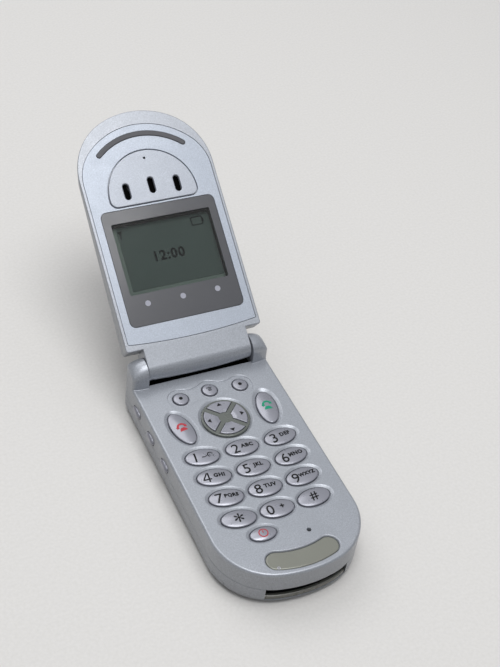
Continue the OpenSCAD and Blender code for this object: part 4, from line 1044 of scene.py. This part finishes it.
def lid_inner():
    """Inner housing with its crisp rim, the barrel and the neck between them."""
    soft, bore_r, shaft_r, seat = 0.4, 2.2, 1.3, 0.4
    rings = [shell_ring(inset, LID_IN + soft - h) for inset, h in reversed(quarter(soft))]
    rings += [shell_ring(0, LID_PART - SEAM), shell_ring(SEAM, LID_PART)]
    hollow = loft([shell_ring(LID_WALL, LID_IN + 1.4), shell_ring(LID_WALL, LID_PART + 1)])
    mesh = fused(cut(to_mesh("lid_inner", loft(rings)), hollow), barrel())
    mesh = cut(mesh, prism(panel_outline(), LID_IN - 1, LID_IN + PANEL_T),
               along_x(circle(bore_r, 32), -BARREL_HALF - 1, BARREL_HALF - 5),
               along_x(circle(shaft_r, 32), -BARREL_HALF - 1, BARREL_HALF + 1),
               box((-VIEW_HALF - seat, VIEW_LOW - seat, LID_IN),
                   (VIEW_HALF + seat, VIEW_HIGH + seat, LID_IN + 3)),
               *[prism(sound_slot(index, 0.3), LID_IN, LID_IN + 2) for index in SLOTS],
               cylinder((0, PINHOLE_Y), 0.6, LID_IN, LID_IN + 2, 20))
    lid_piece("lid_inner_skin", mesh, HOUSING, "lid_inner_housing")


def lid_outer():
    """Outer housing with its rounded back edge."""
    soft, low = 2.5, LID_PART + SPLIT
    rings = [shell_ring(SEAM, low), shell_ring(0, low + SEAM)]
    rings += [shell_ring(inset, LID_OUT - soft + h) for inset, h in quarter(soft, 9)]
    hollow = loft([shell_ring(LID_WALL, LID_PART - 1), shell_ring(LID_WALL, LID_OUT - soft - 0.6),
                   shell_ring(2 * LID_WALL, LID_OUT - 1.4)])
    mesh = cut(to_mesh("lid_outer", loft(rings)), hollow)
    lid_piece("lid_outer_skin", mesh, HOUSING, "lid_outer_housing")


def face_down(points, proud, thick, bevel, face=LID_IN):
    """Plate let into a face of the lid; its rounded edge looks out of the face."""
    verts, faces = plate(points, 0, thick + proud, bevel)
    top = face + thick
    return [(x, y, top - z) for x, y, z in verts], faces


def window_outline(grow=0.0):
    return round_rect(18, WINDOW_LOW, WINDOW_HIGH, 1.8, grow)


def view_outline(grow, radius):
    """Opening of the display, grown on all sides."""
    return round_rect(VIEW_HALF + grow, VIEW_LOW - grow, VIEW_HIGH + grow, radius)


def grille_outline(grow=0.0):
    """D-shaped plate: a round part below a straight edge with two round corners."""
    r, cr = GRILLE_R + grow, GRILLE_CORNER + grow
    corner_y = GRILLE_EDGE - GRILLE_CORNER
    corner_x = math.sqrt((GRILLE_R - GRILLE_CORNER) ** 2 - (corner_y - GRILLE_Y) ** 2)
    meet = math.degrees(math.atan2(corner_y - GRILLE_Y, corner_x))
    return (arc((0, GRILLE_Y), r, -180 - meet, meet, 72)[:-1] + arc((corner_x, corner_y), cr, meet, 90, 12)
            + arc((-corner_x, corner_y), cr, 90, 180 - meet, 12)[:-1])


def strip_outline(grow=0.0):
    radius, half_width = 21.6, 0.75
    return arc_capsule((0, -70.75 + radius), radius - half_width, 40, half_width, grow)


def sound_slot(index, grow=0.0):
    half_width = 0.95
    half, straight = half_width + grow, 2.5 - half_width
    points = arc((0, straight), half, 0, 180, 12) + arc((0, -straight), half, 180, 360, 12)
    return placed(points, index * SLOT_X, SLOT_Y + abs(index) * SLOT_DROP)


def flared(points_at, low, high, flare):
    """Cutter whose outline widens towards the open side at `low`."""
    rings = [at_height(points_at(flare + 0.2), low - 0.5)]
    for inward, up in bend(90, 60, 30, 0):
        rings.append(at_height(points_at(flare * inward), low + flare * (1 - up)))
    rings.append(at_height(points_at(0), high))
    return loft(rings)


def lid_face():
    """Panel, earpiece grille with the cloth behind it, and the bumper strip."""
    gap, seat_gap, grille_proud, strip_proud = 0.12, 0.28, 0.18, 0.22
    seat = flared(lambda grow: grille_outline(seat_gap + grow), LID_IN, LID_IN + 2, flare=0.15)
    mesh = cut(to_mesh("panel", face_down(panel_outline(gap), 0, PANEL_T - 0.02, bevel=0.12)),
               prism(window_outline(gap), *FACE_CUT), prism(strip_outline(gap), *FACE_CUT), seat)
    lid_piece("lid_panel_skin", mesh, PANEL, "lid_inner_panel")

    mesh = to_mesh("grille", face_down(grille_outline(), grille_proud, PANEL_T, bevel=0.22))
    for index in SLOTS:
        mesh = cut(mesh, flared(lambda grow, k=index: sound_slot(k, grow), LID_IN - grille_proud,
                                LID_IN + 2, flare=0.34))
    mesh = cut(mesh, cylinder((0, PINHOLE_Y), 0.42, *FACE_CUT, 20))
    lid_piece("earpiece_grille_skin", mesh, GRILLE, "earpiece_grille")
    cloth = prism(inset_loop(grille_outline(), 1.5), LID_IN + 1.41, LID_IN + 1.6)
    lid_piece("earpiece_cloth", to_mesh("cloth", cloth), CLOTH_AND_SHADE)

    mesh = to_mesh("strip", face_down(strip_outline(), strip_proud, PANEL_T, bevel=0.25))
    lid_piece("bumper_strip_skin", mesh, RUBBER, "bumper_strip")


def display():
    """Printed mask with its clear pane, and the liquid crystal at the bottom of a well whose near-black
    walls are painted shade.
    """
    mesh = cut(to_mesh("mask", face_down(window_outline(), 0, PANEL_T, bevel=0.1)),
               prism(view_outline(0, 0.5), *FACE_CUT))
    lid_piece("window_mask", mesh, MASK, "display_window")
    pane = prism(view_outline(0.3, 0.5), LID_IN + 0.12, LID_IN + 0.3)
    lid_piece("window_pane", to_mesh("pane", pane), CLEAR)

    depth = LID_IN + 2.3
    glass = prism(view_outline(0.6, 0.3), depth + 0.12, depth + 1)
    lid_piece("display_glass", to_mesh("glass", glass), CRYSTAL_EDGE, "display_module")
    film = placed(round_rect(VIEW_HALF - 0.85, VIEW_LOW + 0.2, VIEW_HIGH - 1.5, 0.3), 1)
    film = face_down(film, 0, 0.3, bevel=0.12, face=depth)
    lid_piece("display_film", to_mesh("film", film), CRYSTAL)
    # Walls of the well in near-black material: painted shade inside the recess.
    inner = round_rect(VIEW_HALF + 0.05, VIEW_LOW + 0.6, VIEW_HIGH + 0.05, 0.5)
    well = cut(to_mesh("well", prism(view_outline(0.7, 0.3), LID_IN + PANEL_T - 0.3, depth + 0.1)),
               prism(inner, LID_IN, depth + 1))
    lid_piece("display_shade_walls", well, CLOTH_AND_SHADE)

    battery = [flat_box(-1.9, -1.4, 1.9, -1.05), flat_box(-1.9, 1.05, 1.9, 1.4),
               flat_box(-1.9, -1.05, -1.55, 1.05), flat_box(1.55, -1.05, 1.9, 1.05),
               flat_box(1.9, -0.6, 2.3, 0.6)]
    reception = [flat_box(-0.16, -1.2, 0.16, 0.6),
                 flat_polygon([(-0.9, 1.2), (0.9, 1.2), (0.16, 0.2), (-0.16, 0.2)])]
    clock = flat_text("12:00", 4.2, spacing=1.12, weight=0.13)
    marks = shifted(battery, 11.5, 40.75) + shifted(reception, -12.9, 40.6) + shifted([clock], 0, 32.4)
    lay_on("display_marks", marks, lambda x, y: -depth, READING_POSE, PIXELS, "lid")
    dots = []
    for x in (-11.1, 0, 11.1):
        dots += shifted([flat_polygon(circle(0.86, 28))], x, 18.55)
    lay_on("window_dots", dots, lambda x, y: -LID_IN, READING_POSE, DOT_INK, "lid")


# ---- Inner parts ----

INNER_LOOKS = (
    (STEEL, ("shield_can", "sim_holder", "vibration_motor", "screw_left", "screw_right",
             "hinge_cam_shaft", "hinge_pivot_pin", "hinge_module", "hinge_spring")),
    (GOLD, ("battery_contacts", "internal_antenna")), (BOARD, ("main_board", "lid_board")),
    (BATTERY, ("battery_pack",)), (SHEET, ("dome_sheet",)), (MAT, ("keypad_mat",)),
    (FILM, ("flex_cable",)), (CLOTH_AND_SHADE, ("microphone",)), (BLACK, ("earpiece_speaker",)),
)


def inner_parts():
    """Gives the solids that have no piece of their own their materials."""
    for material, nodes in INNER_LOOKS:
        for node in nodes:
            mesh = frame["nodes"][node].data
            mesh.materials.clear()
            mesh.materials.append(material)


# ---- Studio ----

def floor():
    size = 3000
    mesh = to_mesh("floor", plate([(-size, -size), (size, -size), (size, size), (-size, size)], -2, 0))
    mesh.transform(Matrix.Scale(MM, 4))
    paper = Shader("floor_paper", srgb(226, 224, 221), 0.85, specular=0.2)
    paper.tint(paper.noise(0.9, 3), srgb(214, 212, 208), 0.5)
    paper.rough(paper.noise(3), 0.8, 0.9)
    paper.seen_as(srgb(150, 142, 130))
    mesh.materials.append(paper.material)
    linked("floor", mesh)


def area_light(name, place, target, width, watts):
    light = bpy.data.lights.new(name, "AREA")
    light.shape = "DISK"
    light.size = width * MM
    light.energy = watts
    obj = linked(name, light)
    obj.location = Vector(place) * MM
    obj.rotation_euler = (Vector(target) - Vector(place)).to_track_quat("-Z", "Y").to_euler()


def studio():
    """A bluish room that is brighter towards the top, and two large soft lamps."""
    world = bpy.data.worlds.new("room")
    bpy.context.scene.world = world
    world.use_nodes = True
    nodes, links = world.node_tree.nodes, world.node_tree.links
    background = nodes["Background"]
    background.inputs["Color"].default_value = (0.86, 0.88, 0.92, 1)
    split = nodes.new("ShaderNodeSeparateXYZ")
    sky = nodes.new("ShaderNodeMapRange")
    set_inputs(sky, {"To Min": 0.1, "To Max": 0.62})
    links.new(nodes.new("ShaderNodeTexCoord").outputs["Generated"], split.inputs["Vector"])
    links.new(split.outputs["Z"], sky.inputs["Value"])
    links.new(sky.outputs["Result"], background.inputs["Strength"])
    center = (0, 20, 20)
    area_light("overhead", (20, -110, 940), center, 620, 4.5)
    area_light("window", (-100, 570, 750), center, 700, 2.0)
    bpy.context.scene.view_settings.view_transform = "Standard"


def camera():
    """Camera at the photograph's place: position, viewing direction and roll."""
    place, forward, roll = (-122.5, -202.81, 276.41), (0.36902, 0.63673, -0.67705), 8.36
    data = bpy.data.cameras.new("camera")
    data.sensor_width = 36
    data.lens = 68.38
    data.clip_start = 0.01
    obj = linked("camera", data)
    level = Vector(forward).to_track_quat("-Z", "Y").to_matrix().to_4x4()
    turn = Matrix.Rotation(math.radians(roll), 4, "Z")
    obj.matrix_world = Matrix.Translation(Vector(place) * MM) @ level @ turn
    bpy.context.scene.camera = obj


camera()
floor()
studio()
front_housing()
trough_shade_sheet()
rear_housing()
battery_door()
digit_keys()
other_keys()
navigation()
side_keys()
nameplate()
connector()
lid_inner()
lid_outer()
lid_face()
display()
inner_parts()
